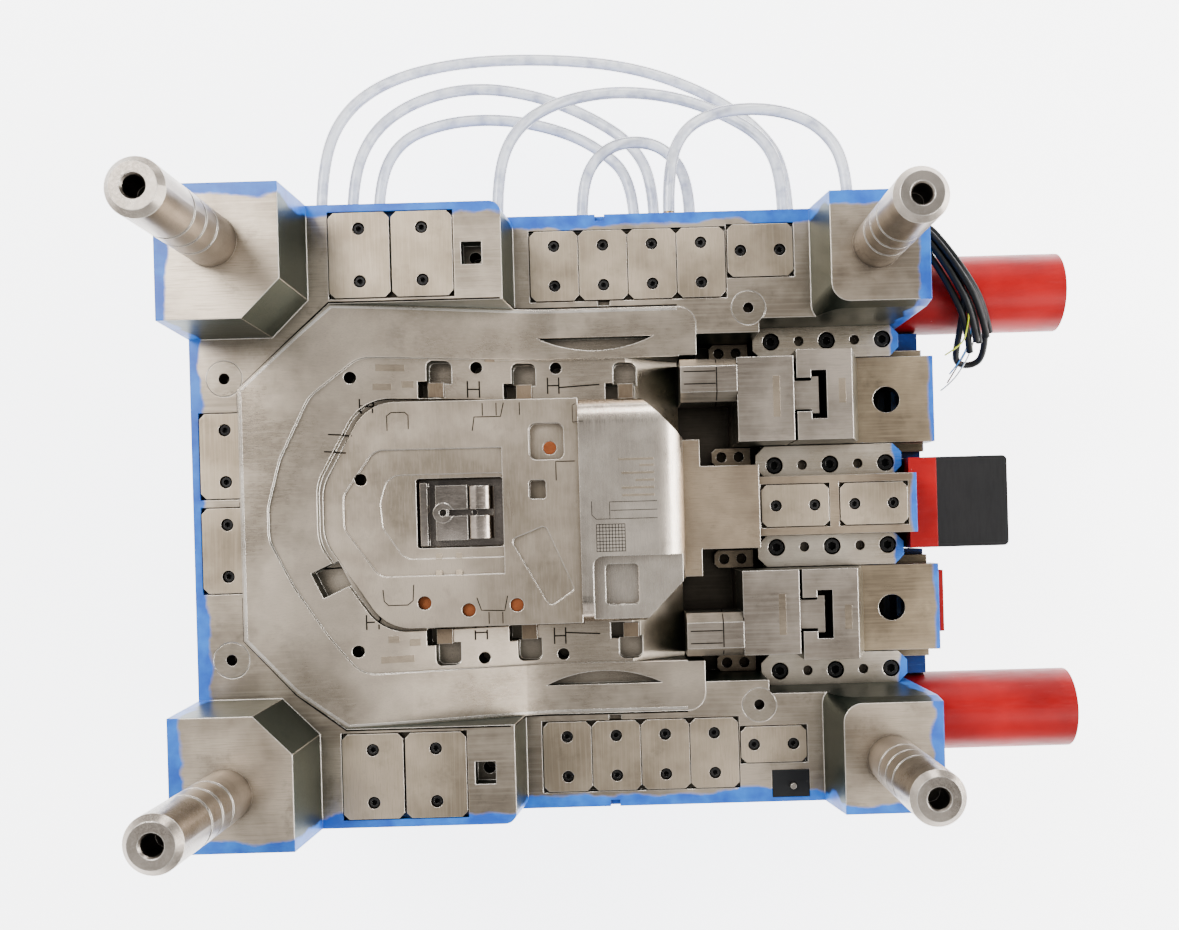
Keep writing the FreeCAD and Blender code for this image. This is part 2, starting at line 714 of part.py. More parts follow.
def corner_blocks():
    """Interlock blocks and the steps they stand on, all one piece with the core plate."""
    x0, y1 = -half_length, half_width
    x1 = x0 + mm.left_lock_length
    y0 = y1 - mm.left_lock_width
    bevel = mm.left_lock_bevel

    def left_plan(lean):
        return [(x0, y0 - lean), (x1 + lean - bevel, y0 - lean), (x1 + lean, y0 - lean + bevel),
                (x1 + lean, y1), (x0, y1)]

    left = drafted("left_lock", left_plan(mm.left_lock_draft), left_plan(0), high_face,
                   left_lock_top)
    x0, x1 = half_length - mm.right_lock_length, half_length
    y0 = half_width - mm.right_lock_width
    lean = mm.right_lock_draft
    right = drafted("right_lock", rectangle(x0 - lean, x1, y0 - lean, y1),
                    rectangle(x0, x1, y0, y1), low_face, right_lock_top,
                    rounds=[((0,), mm.right_lock_round)])
    end = mm.terrace_end
    terrace = drafted("terrace", rectangle(-half_length, end + mm.terrace_draft, -half_width, half_width),
                      rectangle(-half_length, end, -half_width, half_width), low_face, high_face,
                      rounds=[((1, 2), mm.terrace_round)])
    return [terrace] + both_sides("left_lock", left) + both_sides("right_lock", right)


def wear_pockets():
    """Sunk places of the wear plates."""
    gap = mm.plate_gap
    tools = []
    left = mm.tall_plate_x - mm.tall_plate_length / 2 - gap
    right = mm.tall_plate_x + mm.tall_plate_pitch + mm.tall_plate_length / 2 + gap
    half = mm.tall_plate_width / 2 + gap
    tools += both_sides("tall_pocket", box("tall_pocket", left, right, mm.tall_plate_y - half,
                        mm.tall_plate_y + half, high_face - mm.plate_sink, high_face + clear))
    left = mm.low_plate_x - mm.low_plate_length / 2 - gap
    right = mm.low_plate_x + mm.low_plate_pitch * 3 + mm.low_plate_length / 2 + gap
    half = mm.low_plate_width / 2 + gap
    tools += both_sides("low_pocket", box("low_pocket", left, right, mm.low_plate_y - half,
                        mm.low_plate_y + half, low_face - mm.plate_sink, low_face + clear))
    for name, y, width in (("upper", mm.upper_end_plate_y, mm.upper_end_plate_width),
                           ("lower", mm.lower_end_plate_y, mm.lower_end_plate_width)):
        tools.append(box_about(name + "_end_pocket", mm.end_plate_x, mm.end_plate_length + gap * 2,
                               y, width + gap * 2, low_face - mm.plate_sink, low_face + clear))
    for side in (-0.5, 0.5):
        y = mm.side_plate_middle + mm.side_plate_pitch * side
        half = mm.tall_plate_width / 2 + gap
        tools.append(box("side_pocket", side_plate_left - gap, mm.insert_left + clear, y - half,
                         y + half, high_face - mm.plate_sink, high_face + clear))
    return tools


def core_plate():
    """Big plate that holds everything: milled pockets, bores and the slide bay."""
    slab = box("core_slab", -half_length, half_length, -half_width, half_width, core_back, low_face)
    blank = fuse("core_plate_blank", [slab] + corner_blocks())
    pocket = prism("insert_pocket", insert_corners(), insert_back, ABOVE,
                   rounds=[((3, 8), mm.wing_round)])
    tools = [
        pocket,
        box("bay_front", mm.shutoff - clear, mm.bay_gib_start + clear, -mm.bay_front_half,
            mm.bay_front_half, bay_floor, ABOVE),
        box("bay", mm.bay_gib_start, half_length + clear, -bay_gib_half, bay_gib_half, bay_floor,
            ABOVE),
        box("rod_channel", mm.tongue_start - 12, half_length + clear, -(mm.rod_radius + 4),
            mm.rod_radius + 4, bay_floor + mm.rod_axis - mm.rod_radius - 3, bay_floor + clear),
        rod_x("eyebolt_hole", 15, -half_length - clear, -half_length + 40, 0, core_back + 80),
    ]
    slot_y = mm.slideway_middle
    tools += both_sides("pin_slot", box_about("pin_slot", mm.angle_bore_x, 26, slot_y,
                        (mm.angle_bore_radius + 2) * 2, bay_floor - 32, bay_floor + clear))
    tools += wear_pockets()
    tools += guide_pin_bores()
    for name, x, y in (("left", return_left_x, mm.return_left_y),
                       ("right", mm.return_right_x, mm.return_right_y)):
        bore = rod("return_bore_" + name, mm.return_radius + mm.bore_gap, x, y,
                   core_back - clear, ABOVE)
        tools += both_sides("return_bore_" + name, bore)
    for i, (x, y) in enumerate(EJECTOR_PINS):
        tools.append(rod("ejector_bore_%d" % i, mm.ejector_pin_radius + mm.bore_gap, x, y,
                         core_back - clear, insert_back + clear))
    for name, x, y in LIFTERS:
        tools.append(lifter_bar("lifter_way_" + name, x, y, mm.bore_gap, core_back - clear,
                                insert_back + clear))
    for i, (x, y) in enumerate(EJECTOR_GUIDES):
        tools.append(rod("guide_bore_%d" % i, mm.ejector_guide_radius, x, y, core_back - clear,
                         core_back + 20))
    tools += small_core_holes()
    return cut("core_plate", blank, tools)


def small_core_holes():
    """Threads, lifting pockets, counter pocket and hose connections of the core plate."""
    tools = clamp_screws_at(0, "core_thread")
    for i, (x, y, face) in enumerate(screw_spots()):
        tools.append(rod("thread_%d" % i, mm.small_screw_radius, x, y,
                         face - mm.plate_sink - mm.small_screw_grip, face - mm.plate_sink + clear))
    for i, (x, y) in enumerate(gib_screw_spots()):
        tools.append(rod("gib_thread_%d" % i, mm.gib_screw_radius, x, y, bay_floor - 16,
                         bay_floor + clear))
    pocket = box_about("pry_pocket", -81, 19, mm.tall_plate_y - 0.5, 21, high_face - 18,
                       high_face + clear)
    tools += both_sides("pry_pocket", pocket)
    hole = rod("pry_hole", 5.6, -79, mm.tall_plate_y - 2, high_face - 45, high_face)
    tools += both_sides("pry_hole", hole)
    notch = box_about("air_notch", 40.5, 12, 203.5, 6, low_face - 5, low_face + clear)
    tools += both_sides("air_notch", notch)
    edge = box_about("edge_notch", 38.5, 9, half_width, 12, low_face - 8, low_face + clear)
    tools += both_sides("edge_notch", edge)
    tools.append(box_about("counter_pocket", mm.counter_x, mm.counter_length, mm.counter_y,
                           mm.counter_width, low_face - mm.counter_depth, low_face + clear))
    tools += nipple_holes()
    return tools


def guide_pin_profile(length):
    """Half section of a guide pin, from its collar to its tapped, bevelled tip."""
    radius, depth, width = mm.pin_radius, mm.pin_groove_depth, mm.pin_groove_width
    corners = [(0, 0), (mm.pin_collar_radius, 0), (mm.pin_collar_radius, mm.pin_collar_height),
               (radius, mm.pin_collar_height)]
    for below_tip in (118, 92, 66):
        z = length - below_tip
        corners += [(radius, z), (radius - depth, z), (radius - depth, z + width),
                    (radius, z + width)]
    nose = mm.pin_nose
    corners += [(radius, length - nose), (radius - nose, length),
                (mm.pin_tap_radius + 1.5, length), (mm.pin_tap_radius, length - 2),
                (mm.pin_tap_radius, length - mm.pin_tap_depth), (0, length - mm.pin_tap_depth)]
    return corners


def guide_pins():
    """Hardened pins that line the two mould halves up; the left pair stands higher."""
    for name, top, side in (("left", left_lock_top, -1), ("right", right_lock_top, 1)):
        length = top - core_back + mm.pin_reach
        master = turned("pin_" + name, guide_pin_profile(length))
        pins = [copy_at("pin_%s_%d" % (name, k), master, pin_x * side, mm.pin_y * k, core_back,
                        ((1, 0, 0), 90)) for k in (-1, 1)]
        node("guide_pins_" + name, group("guide_pins_" + name, pins))


def guide_pin_bores():
    bores = []
    for x in (-1, 1):
        for y in (-1, 1):
            bores.append(rod("pin_bore", mm.pin_radius, pin_x * x, mm.pin_y * y,
                             core_back - clear, ABOVE))
            bores.append(rod("pin_collar_bore", mm.pin_collar_radius, pin_x * x, mm.pin_y * y,
                             core_back - clear, core_back + mm.pin_collar_height))
    return bores


# ---------------------------------------------------------------- moulding inserts

def lifter_cuts(name, x, y):
    """Everything round one lifter in the core insert: its way, air gap and scooped pocket."""
    side = 1 if y > 0 else -1
    floor = slope_level(x) - mm.ring_depth
    half = mm.lifter_length / 2
    gap = box(name + "_air", x - half - 12, x - half + 2, y - 8, y + 8, floor - 26, ABOVE)
    inner = y + side * (mm.lifter_width / 2 - 1)
    outer = y + side * (mm.lifter_width / 2 + 21)
    low, high = (inner, outer) if side > 0 else (outer, inner)
    foot = rectangle(x - half - 4, x + half + 4, low, high)
    scoop = prism(name + "_scoop", foot, floor - 15, ABOVE, rounds=[((2, 3) if side > 0 else (0, 1), 6)])
    way = lifter_bar(name + "_way", x, y, mm.bore_gap, insert_back - clear, ABOVE)
    return [gap, scoop, way]


def angled_pocket():
    """Slanting pocket of the end core block, on the ring's lower left."""
    x, y = -228, -76
    floor = slope_level(x) - mm.ring_depth
    deep = box("end_pocket", -38, -12, -13, 13, 0, 60)
    seat = box("end_seat", -13, 22, -10, 10, 0, 60)
    turn = ((0, 0, 1), 25)
    return [place(deep, x, y, floor - 22, turn), place(seat, x, y, floor - 5, turn)]


def core_insert():
    """Outer core block: sloping shut-off face, sunk moulding ring and two raised wings."""
    half = mm.insert_half_width
    plan = prism("insert_plan", insert_corners(), insert_back, ABOVE,
                 rounds=[((3, 8), mm.wing_round)])
    side = profile("insert_side", face_corners(0), -half - clear, half + clear, FACE_BLENDS)
    base = common("insert_base", [plan, side])
    top = low_face + mm.wing_rise
    long_part = box("wing_long", mm.insert_slope_end, mm.wing_end + clear, mm.wing_step,
                    half + clear, insert_back, top)
    end_part = box("wing_end_part", mm.wing_block, mm.wing_end + clear, mm.wing_inner,
                   half + clear, insert_back, top)
    spaces = both_sides("wing_long", long_part) + both_sides("wing_end_part", end_part)
    wings = common("wings", [plan, group("wing_spaces", spaces)])
    block = fuse("insert_blank", [base, wings])

    ring_plan = prism("ring_plan", ring_corners(), insert_back, ABOVE,
                      rounds=[(range(2, 10), mm.ring_round)])
    ring_bed = profile("ring_bed", face_corners(mm.ring_depth), -half - clear, half + clear,
                       FACE_BLENDS)
    ring = cut("ring_recess", ring_plan, [ring_bed])
    groove_plan = prism("groove_plan", centre_corners(mm.groove_width), insert_back, ABOVE,
                        rounds=CENTRE_CURVES)
    groove_bed = profile("groove_bed", face_corners(mm.ring_depth + mm.groove_depth),
                         -half - clear, half + clear, FACE_BLENDS)
    groove = cut("groove", groove_plan, [groove_bed])
    centre = prism("centre_pocket", centre_corners(), insert_back - clear, ABOVE,
                   rounds=CENTRE_CURVES)
    tail = prism("tail_pocket", tail_corners(), insert_back - clear, ABOVE)
    chord = (mm.wing_block - mm.insert_slope_end) / 2
    bow = mm.hollow_depth
    radius = (chord * chord + bow * bow) / (bow * 2)
    drum = rod("hollow_drum", radius, mm.insert_slope_end + chord, mm.wing_step - bow + radius,
               low_face - 12, ABOVE)
    strip = box("hollow_strip", mm.insert_slope_end, mm.wing_block, mm.ring_half_width,
                mm.wing_step, low_face - 12, ABOVE)
    hollow = common("wing_hollow", [drum, strip])
    ramp = [(60, low_face - mm.ring_depth), (mm.shutoff + clear, low_face - 46),
            (mm.shutoff + clear, ABOVE), (60, ABOVE)]
    tools = [ring, groove, centre, tail,
             profile("ramp", ramp, -mm.ring_half_width, mm.ring_half_width)]
    tools += both_sides("wing_hollow", hollow) + angled_pocket()
    for name, x, y in LIFTERS:
        tools += lifter_cuts(name, x, y)
    for i, (x, y) in enumerate(BOSS_HOLES):
        floor = slope_level(x) - mm.ring_depth
        tools.append(rod("boss_%d" % i, mm.boss_hole_radius, x, y, floor - mm.boss_hole_depth, ABOVE))
    return cut("core_insert", block, tools)


def centre_side(drop):
    """Side view of the centre insert, lowered by drop: it rises towards its left end."""
    right = low_face + mm.centre_top - drop
    left = right + mm.centre_fall
    x0, x1 = mm.centre_left - clear, mm.tail_left + clear
    return [(x0, insert_back - clear), (x1, insert_back - clear), (x1, right), (x0, left)]


def centre_step(name, corners, depth):
    """A shallow sunk field that follows the centre insert's sloping top."""
    half = mm.centre_half_width
    plan = prism(name + "_plan", corners, insert_back, ABOVE, rounds=[(range(2, 6), 16)])
    bed = profile(name + "_bed", centre_side(depth), -half - clear, half + clear)
    return cut(name, plan, [bed])


def centre_insert():
    """Middle core block with a rounded left end, fine steps and sunk features."""
    half = mm.centre_half_width
    plan = prism("centre_plan", centre_corners(), insert_back, ABOVE, rounds=CENTRE_CURVES)
    block = common("centre_blank", [plan, profile("centre_side", centre_side(0), -half - clear,
                                                  half + clear)])
    left = mm.centre_left + 18
    outer = [(-60, -58), (-60, 62), (left + 30, 62), (left, 20), (left, -12), (left + 32, -58)]
    inner = [(-60, -42), (-60, 38), (left + 42, 38), (left + 34, 12), (left + 36, -12),
             (left + 56, -42)]
    top = low_face + mm.centre_top
    square = (0, 1, 2, 3)
    tools = [
        centre_step("outer_step", outer, mm.terrace_step),
        centre_step("inner_step", inner, mm.terrace_step + 1),
        prism("plug_pocket", rectangle(-34, -1, 49, 84), top - 7, ABOVE, rounds=[(square, 7)]),
        prism("core_pin_pocket", rectangle(-35, -19, 12, 30), top - 9, ABOVE, rounds=[(square, 3)]),
        prism("panel_pocket", [(-54, -26), (-18, -91), (6, -75), (-20.5, -13)], top - 1, ABOVE,
              rounds=[(square, 5)]),
        prism("saddle_pocket", rectangle(-142, -60, -32, 34), saddle_floor, ABOVE,
              rounds=[(square, 3)]),
        rod("boss_middle", mm.boss_hole_radius, -193.6, 34.4, top - 35, ABOVE),
    ]
    for i, (x, y) in enumerate(EJECTOR_PINS):
        tools.append(rod("pin_way_%d" % i, mm.ejector_pin_radius + mm.bore_gap, x, y,
                         insert_back - clear, ABOVE))
    return cut("centre_insert", block, tools)




def saddle_insert():
    """Polished saddle let into the centre insert: bar, block with a pin seat, rolled ridge."""
    z = saddle_floor
    foot = box("saddle_foot", -141, -61, -31, 33, z, z + 4)
    bar = box("saddle_bar", -139, -132, -30, 30, z + 3, z + 14)
    block = box("saddle_block", -124, -94, -25, 27, z + 3, z + 16)
    boss = rod("saddle_boss", 9.5, -117, 1, z + 3, z + 18)
    ridge = rod("saddle_ridge", 13, -83, 0, 0, 50)
    place(ridge, -83, 26, z + 6, ((1, 0, 0), 90))
    trim = box("saddle_trim", -97, -69, -25, 27, z + 3, z + 19)
    roll = common("saddle_roll", [ridge, trim])
    tools = [
        box("saddle_slot", -113, -60, -2, 4, z + 8, ABOVE),
        rod("saddle_pin_seat", 3.4, -117, 1, z + 6, ABOVE),
        rod("saddle_pin_hole", 2.5, -88, 1, z + 5, ABOVE),
    ]
    return cut("saddle_insert", fuse("saddle_blank", [foot, bar, block, boss, roll]), tools)


def tail_insert():
    """Tall pillow-shaped block at the slide end, with a lower shelf and a framed square."""
    half = mm.centre_half_width
    top = low_face + mm.tail_rise
    crown = mm.tail_crown
    plan = prism("tail_plan", tail_corners(), insert_back, ABOVE)
    along = [(mm.tail_left - clear, insert_back), (mm.shutoff, insert_back), (mm.shutoff, top),
             (mm.tail_left - clear, top)]
    side = profile("tail_side", along, -half - clear, half + clear, rounds=[((2,), crown)])
    across = [(-half, insert_back), (half, insert_back), (half, top), (-half, top)]
    front = cross_section("tail_front", across, mm.tail_left - clear, mm.shutoff + clear,
                          rounds=[((2, 3), crown)])
    block = common("tail_blank", [plan, side, front])
    shelf = prism("tail_shelf", rectangle(24, mm.shutoff + clear, -half - clear, -44), top - 14,
                  ABOVE, rounds=[((3,), 10)])
    frame = prism("tail_frame", rectangle(35, 67, -91, -52), top - 24, ABOVE,
                  rounds=[((0, 1, 2, 3), 4)])
    return cut("tail_insert", block, [shelf, frame])


# ---------------------------------------------------------------- wear plates and screws

def wear_plate(name, x, length, y, width, face, bevels=(0, 1, 2, 3)):
    return prism(name, rectangle(x - length / 2, x + length / 2, y - width / 2, y + width / 2),
                 face - mm.plate_sink, face + mm.plate_proud, bevels=[(bevels, mm.plate_bevel)])


def wear_plates():
    """Hardened plates screwed into the parting face, in four sizes."""
    tall, low, end, side = [], [], [], []
    for sign in (1, -1):
        for k in range(2):
            tall.append(wear_plate("tall", mm.tall_plate_x + mm.tall_plate_pitch * k,
                                   mm.tall_plate_length, mm.tall_plate_y * sign,
                                   mm.tall_plate_width, high_face))
        for k in range(4):
            low.append(wear_plate("low", mm.low_plate_x + mm.low_plate_pitch * k,
                                  mm.low_plate_length, mm.low_plate_y * sign,
                                  mm.low_plate_width, low_face))
    for y, width in ((mm.upper_end_plate_y, mm.upper_end_plate_width),
                     (mm.lower_end_plate_y, mm.lower_end_plate_width)):
        end.append(wear_plate("end", mm.end_plate_x, mm.end_plate_length, y, width, low_face))
    x0, x1 = side_plate_left, mm.insert_left
    for sign in (-0.5, 0.5):
        y = mm.side_plate_middle + mm.side_plate_pitch * sign
        side.append(wear_plate("side", (x0 + x1) / 2, x1 - x0, y, mm.tall_plate_width, high_face,
                               bevels=(0, 3)))
    holes = group("plate_screw_holes", small_screws("plate_hole", screw_spots(), mm.head_room))
    for name, plates in (("wear_plates_tall", tall), ("wear_plates_low", low),
                         ("wear_plates_end", end), ("wear_plates_side", side)):
        node(name, cut(name, group(name + "_blank", plates), [holes]))


def small_screws(name, spots, gap):
    """M6 cap screws, or with gap their stepped holes through the plates."""
    sink = mm.plate_proud - mm.head_sink
    top = 12 if gap else sink
    head = mm.small_head_radius + gap
    under = sink - mm.small_head_height
    end = -mm.plate_sink - mm.small_screw_grip
    master = turned(name, [(0, end), (mm.small_screw_radius, end), (mm.small_screw_radius, under),
                           (head, under), (head, top), (0, top)])
    return [copy_at("%s_%d" % (name, i), master, x, y, face, ((1, 0, 0), 90))
            for i, (x, y, face) in enumerate(spots)]


# ---------------------------------------------------------------- gibs

def gib(name, y0, y1, lips):
    """A long rail, hollowed underneath where a slide's ear runs."""
    x0 = mm.bay_gib_start
    x1 = x0 + mm.gib_length
    blank = prism(name + "_blank", rectangle(x0, x1, y0, y1), bay_floor, gib_top,
                  bevels=[((0, 1, 2, 3), mm.gib_bevel)])
    tools = []
    room = bay_floor + mm.ear_height + mm.slide_gap
    for side in lips:
        low, high = (y0 - clear, y0 + mm.gib_lip) if side < 0 else (y1 - mm.gib_lip, y1 + clear)
        tools.append(box(name + "_undercut", x0 - clear, x1 + clear, low, high, bay_floor - clear, room))
    return blank, tools


def gibs():
    """Four long gibs with M10 screws and dowel holes, and four short ones."""
    screws = gib_screws("gib_hole", mm.head_room)
    dowels = []
    for i, (x, y) in enumerate(gib_screw_spots()):
        if i % 3 < 2:
            dowels.append(rod("dowel_hole", mm.dowel_radius, x + mm.gib_screw_pitch / 2, y,
                              gib_top - 14, gib_top + clear))
    for name, y0, y1, lips in (("inner", gib_inner_y - mm.gib_width, gib_inner_y, (-1, 1)),
                               ("outer", gib_outer_y, gib_outer_y + mm.gib_width, (-1,))):
        blank, tools = gib("gib_" + name, y0, y1, lips)
        for side, half in (("upper", blank), ("lower", mirrored("gib_%s_mirror" % name, blank))):
            mine = [t for t in screws + dowels if (t.Placement.Base.y > 0) == (side == "upper")]
            mine = [t for t in mine if float(y0) < abs(t.Placement.Base.y) < float(y1)]
            under = tools if side == "upper" else [mirrored("undercut_mirror", t) for t in tools]
            full = "gib_%s_%s" % (name, side)
            node(full, cut(full, half, mine + under))
    x0, x1 = mm.bay_gib_start - 44, mm.bay_gib_start - 44 + mm.front_gib_length
    short = []
    for i, y0 in enumerate((gib_inner_y - mm.front_gib_width, gib_outer_y)):
        block = prism("front_gib_%d" % i, rectangle(x0, x1, y0, y0 + mm.front_gib_width), bay_floor,
                      bay_floor + mm.front_gib_height, bevels=[((0, 3), 4)])
        holes = [rod("front_gib_hole", 5.4, x0 + at, y0 + mm.front_gib_width / 2,
                     bay_floor + 3, bay_floor + mm.front_gib_height + clear)
                 for at in (10, 28)]
        short += both_sides("front_gib_%d" % i, cut("front_gib_%d_cut" % i, block, holes))
    node("front_gibs", group("front_gibs", short))


def gib_screws(name, gap):
    """M10 cap screws, or with gap their stepped holes."""
    top = gib_top + (clear if gap else -mm.head_sink)
    under = gib_top - mm.head_sink - mm.gib_head_height
    head = mm.gib_head_radius + gap
    master = turned(name, [(0, bay_floor - 16), (mm.gib_screw_radius, bay_floor - 16),
                           (mm.gib_screw_radius, under), (head, under), (head, top), (0, top)])
    return [copy_at("%s_%d" % (name, i), master, x, y, 0, ((1, 0, 0), 90))
            for i, (x, y) in enumerate(gib_screw_spots())]


# ---------------------------------------------------------------- slides

def side_slide():
    """Upper slide: carriage in the gibs, wedge block, forming head coupled by a T-head."""
    middle, width = mm.slideway_middle, mm.slide_block_width
    base = box("carriage_base", mm.head_end, mm.slide_end, middle - width / 2, middle + width / 2,
               bay_floor, gib_top)
    ears = box("carriage_ears", mm.bay_gib_start + 8, mm.slide_end - 6,
               gib_inner_y - mm.gib_lip + mm.slide_gap, gib_outer_y + mm.gib_lip - mm.slide_gap,
               bay_floor, bay_floor + mm.ear_height)
    bore = rod("angle_bore", mm.angle_bore_radius, mm.angle_bore_x, middle, 0, 200)
    bore.Placement.Rotation = Rotation(Vector(0, -1, 0), float(mm.angle_pin_lean))
    bore.setExpression("Placement.Rotation.Angle", mm.angle_pin_lean.rule)
    lean = tangent(mm.angle_pin_lean)
    place_z = gib_top - 100
    bore.setExpression("Placement.Base.x", (mm.angle_bore_x + lean * 100).rule)
    bore.setExpression("Placement.Base.z", place_z.rule)
    carriage = cut("carriage", fuse("carriage_blank", [base, ears]), [bore])

    half = width / 2
    heel = (slide_top - gib_top) * tangent(mm.wedge_angle)
    plan = prism("wedge_plan", rectangle(mm.wedge_front, mm.wedge_end + heel, middle - half,
                 middle + half), gib_top, slide_top, rounds=[((1, 2), 8)])
    lean = profile("wedge_lean", [(mm.wedge_front - clear, gib_top - clear),
                   (mm.wedge_end + heel, gib_top - clear), (mm.wedge_end + heel, gib_top),
                   (mm.wedge_end, slide_top), (mm.wedge_front - clear, slide_top)],
                   middle - half - clear, middle + half + clear)
    block = common("wedge_blank", [plan, lean])
    neck = box_about("tee_neck_slot", (mm.wedge_front + mm.tee_reach) / 2, mm.tee_reach -
                     mm.wedge_front + 2, middle, mm.tee_neck + 5, gib_top + 8, slide_top + clear)
    slot = box("tee_slot", mm.tee_reach - mm.tee_thick - 1, mm.tee_slot_end,
               middle - mm.tee_slot / 2, middle + mm.tee_slot / 2, gib_top + 8, slide_top + clear)
    wedge = cut("wedge", block, [neck, slot])

    front = box("front_block", mm.head_end, mm.front_block_end, middle - half, middle + half - 6,
                gib_top, slide_top)
    tee_floor = gib_top + 9
    neck = box_about("tee_neck", (mm.front_block_end + mm.tee_reach) / 2 - 1, mm.tee_reach -
                     mm.front_block_end, middle, mm.tee_neck, tee_floor, slide_top - 6)
    tee = box_about("tee_head", mm.tee_reach - mm.tee_thick / 2, mm.tee_thick, middle, mm.tee_head,
                    tee_floor, slide_top - 6)
    y0, y1 = mm.head_inner, mm.head_outer
    low, high = gib_top + 12, slide_top + 2
    nose = cross_section("forming_head", [(y0, low), (y1, low), (y1, high - 9), (y1 - 8, high),
                         (y0 + 9, high), (y0, high - 10)], mm.shutoff + 0.3, mm.head_end)
    return carriage, wedge, fuse("slide_head", [front, neck, tee, nose])


def side_slides():
    pieces = zip(("carriage", "wedge_block", "head"), side_slide())
    for what, piece in pieces:
        node("upper_slide_" + what, piece)
        node("lower_slide_" + what, mirrored("lower_slide_" + what, piece))
    y0, y1 = -mm.slideway_middle - 26, -mm.slideway_middle + 37
    node("slide_stop_plate", box("slide_stop_plate", mm.slide_end, mm.slide_end + 5, y0, y1,
                                 gib_top - 27, gib_top - 2))


def centre_slide():
    """Slide pulled by the cylinder: face block, stem between the inner gibs, tongue above."""
    front = mm.shutoff + 0.2
    top = bay_floor + mm.centre_slide_top
    above_gib = gib_top + 1
    stem_half = mm.stem_half
    parts = [
        box("face_block", front, mm.centre_face_end, -mm.centre_face_half, mm.centre_face_half,
            bay_floor + mm.face_wing_floor, top),
        box("wide_block", front, mm.centre_block_end, -mm.centre_block_half, mm.centre_block_half,
            above_gib, top),
        box("stem", front, mm.tongue_start, -stem_half, stem_half, bay_floor, stem_top),
        box("tongue", mm.tongue_start - clear, mm.stem_end, -stem_half, stem_half,
            bay_floor + mm.tongue_floor, stem_top),
        box("stem_ears", mm.bay_gib_start + 6, mm.tongue_start, -stem_half - mm.stem_ear_reach,
            stem_half + mm.stem_ear_reach, bay_floor, bay_floor + mm.ear_height),
    ]
    spots = stem_screw_spots()
    tools = [box_about("stem_plate_pocket", mm.stem_plate_x + mm.stem_plate_pitch * k,
                       mm.stem_plate_length + mm.plate_gap * 2, 0,
                       mm.stem_plate_width + mm.plate_gap * 2, stem_top - mm.plate_sink,
                       stem_top + clear) for k in range(2)]
    tools += [rod("stem_thread", mm.small_screw_radius, x, y, face - mm.plate_sink -
                  mm.small_screw_grip, face) for x, y, face in spots]
    tools.append(rod_x("rod_seat", mm.rod_radius - 3, mm.tongue_start - 20, mm.tongue_start + clear,
                       0, bay_floor + mm.rod_axis))
    node("centre_slide", cut("centre_slide", fuse("centre_slide_blank", parts), tools))
    plates = [wear_plate("stem_plate", mm.stem_plate_x + mm.stem_plate_pitch * k,
                         mm.stem_plate_length, 0 * mm.stem_plate_width, mm.stem_plate_width, stem_top)
              for k in range(2)]
    holes = small_screws("stem_hole", spots, mm.head_room)
    node("slide_wear_plates", cut("slide_wear_plates", group("stem_plates", plates), holes))
    node("slide_plate_screws", group("slide_plate_screws", small_screws("stem_screw", spots, 0)))


def stem_screw_spots():
    spots = []
    for k in range(2):
        x = mm.stem_plate_x + mm.stem_plate_pitch * k
        spots += [(x + mm.end_screw_pitch * step, 0, stem_top) for step in (-0.5, 0.5)]
    return spots


# ---------------------------------------------------------------- core-pull cylinder, legs

def cylinder():
    """Hydraulic core-pull cylinder on its bracket, its rod screwed into the centre slide."""
    axis = bay_floor + mm.rod_axis
    half = mm.bracket_half
    top = bay_floor + mm.tongue_floor - 2
    start, end = bracket_end, bracket_end + mm.cylinder_length
    bracket = box("bracket_blank", half_length, start, -half, half, top - mm.bracket_height, top)
    passage = rod_x("bracket_passage", mm.rod_radius + 2, half_length - clear, start + clear, 0, axis)
    node("cylinder_bracket", cut("cylinder_bracket", bracket, [passage]))
    gap = mm.slide_gap * 2
    blank = prism("cylinder_blank", rectangle(start, end, -half, half), top - mm.cylinder_height,
                  top, rounds=[((1, 2), 5)])
    gland = rod_x("gland", mm.rod_radius + gap, start - clear, start + 14, 0, axis)
    bore = rod_x("bore", 25 + gap, start + 12, end - 8, 0, axis)
    node("cylinder_body", cut("cylinder_body", blank, [gland, bore]))
    shaft = rod_x("shaft", mm.rod_radius, mm.tongue_start, start + 18, 0, axis)
    seat = rod_x("rod_thread", mm.rod_radius - 3, mm.tongue_start - 20, mm.tongue_start, 0, axis)
    piston = rod_x("piston", 25, start + 13, start + 25, 0, axis)
    node("cylinder_rod", fuse("cylinder_rod", [shaft, seat, piston]))


def legs():
    """Two painted legs that keep the cylinder off the floor when the mould stands on end."""
    end = half_length + mm.leg_length
    axis = core_back + mm.leg_axis
    bar = rod_x("leg_bar", mm.leg_radius, half_length, end, mm.leg_y, axis)
    hole = rod_x("leg_hole", 13, end - 22, end + clear, mm.leg_y, axis)
    leg = cut("support_leg", bar, [hole])
    node("support_legs", group("support_legs", both_sides("support_leg", leg)))
    inner, outer = mm.bracket_half + 2, mm.leg_y - mm.leg_radius - 1
    rest = box("slide_rest", half_length, half_length + mm.rest_depth, inner, outer,
               bay_floor - mm.rest_height, bay_floor - 0.2)
    node("slide_rests", group("slide_rests", both_sides("slide_rest", rest)))


# ---------------------------------------------------------------- ejection

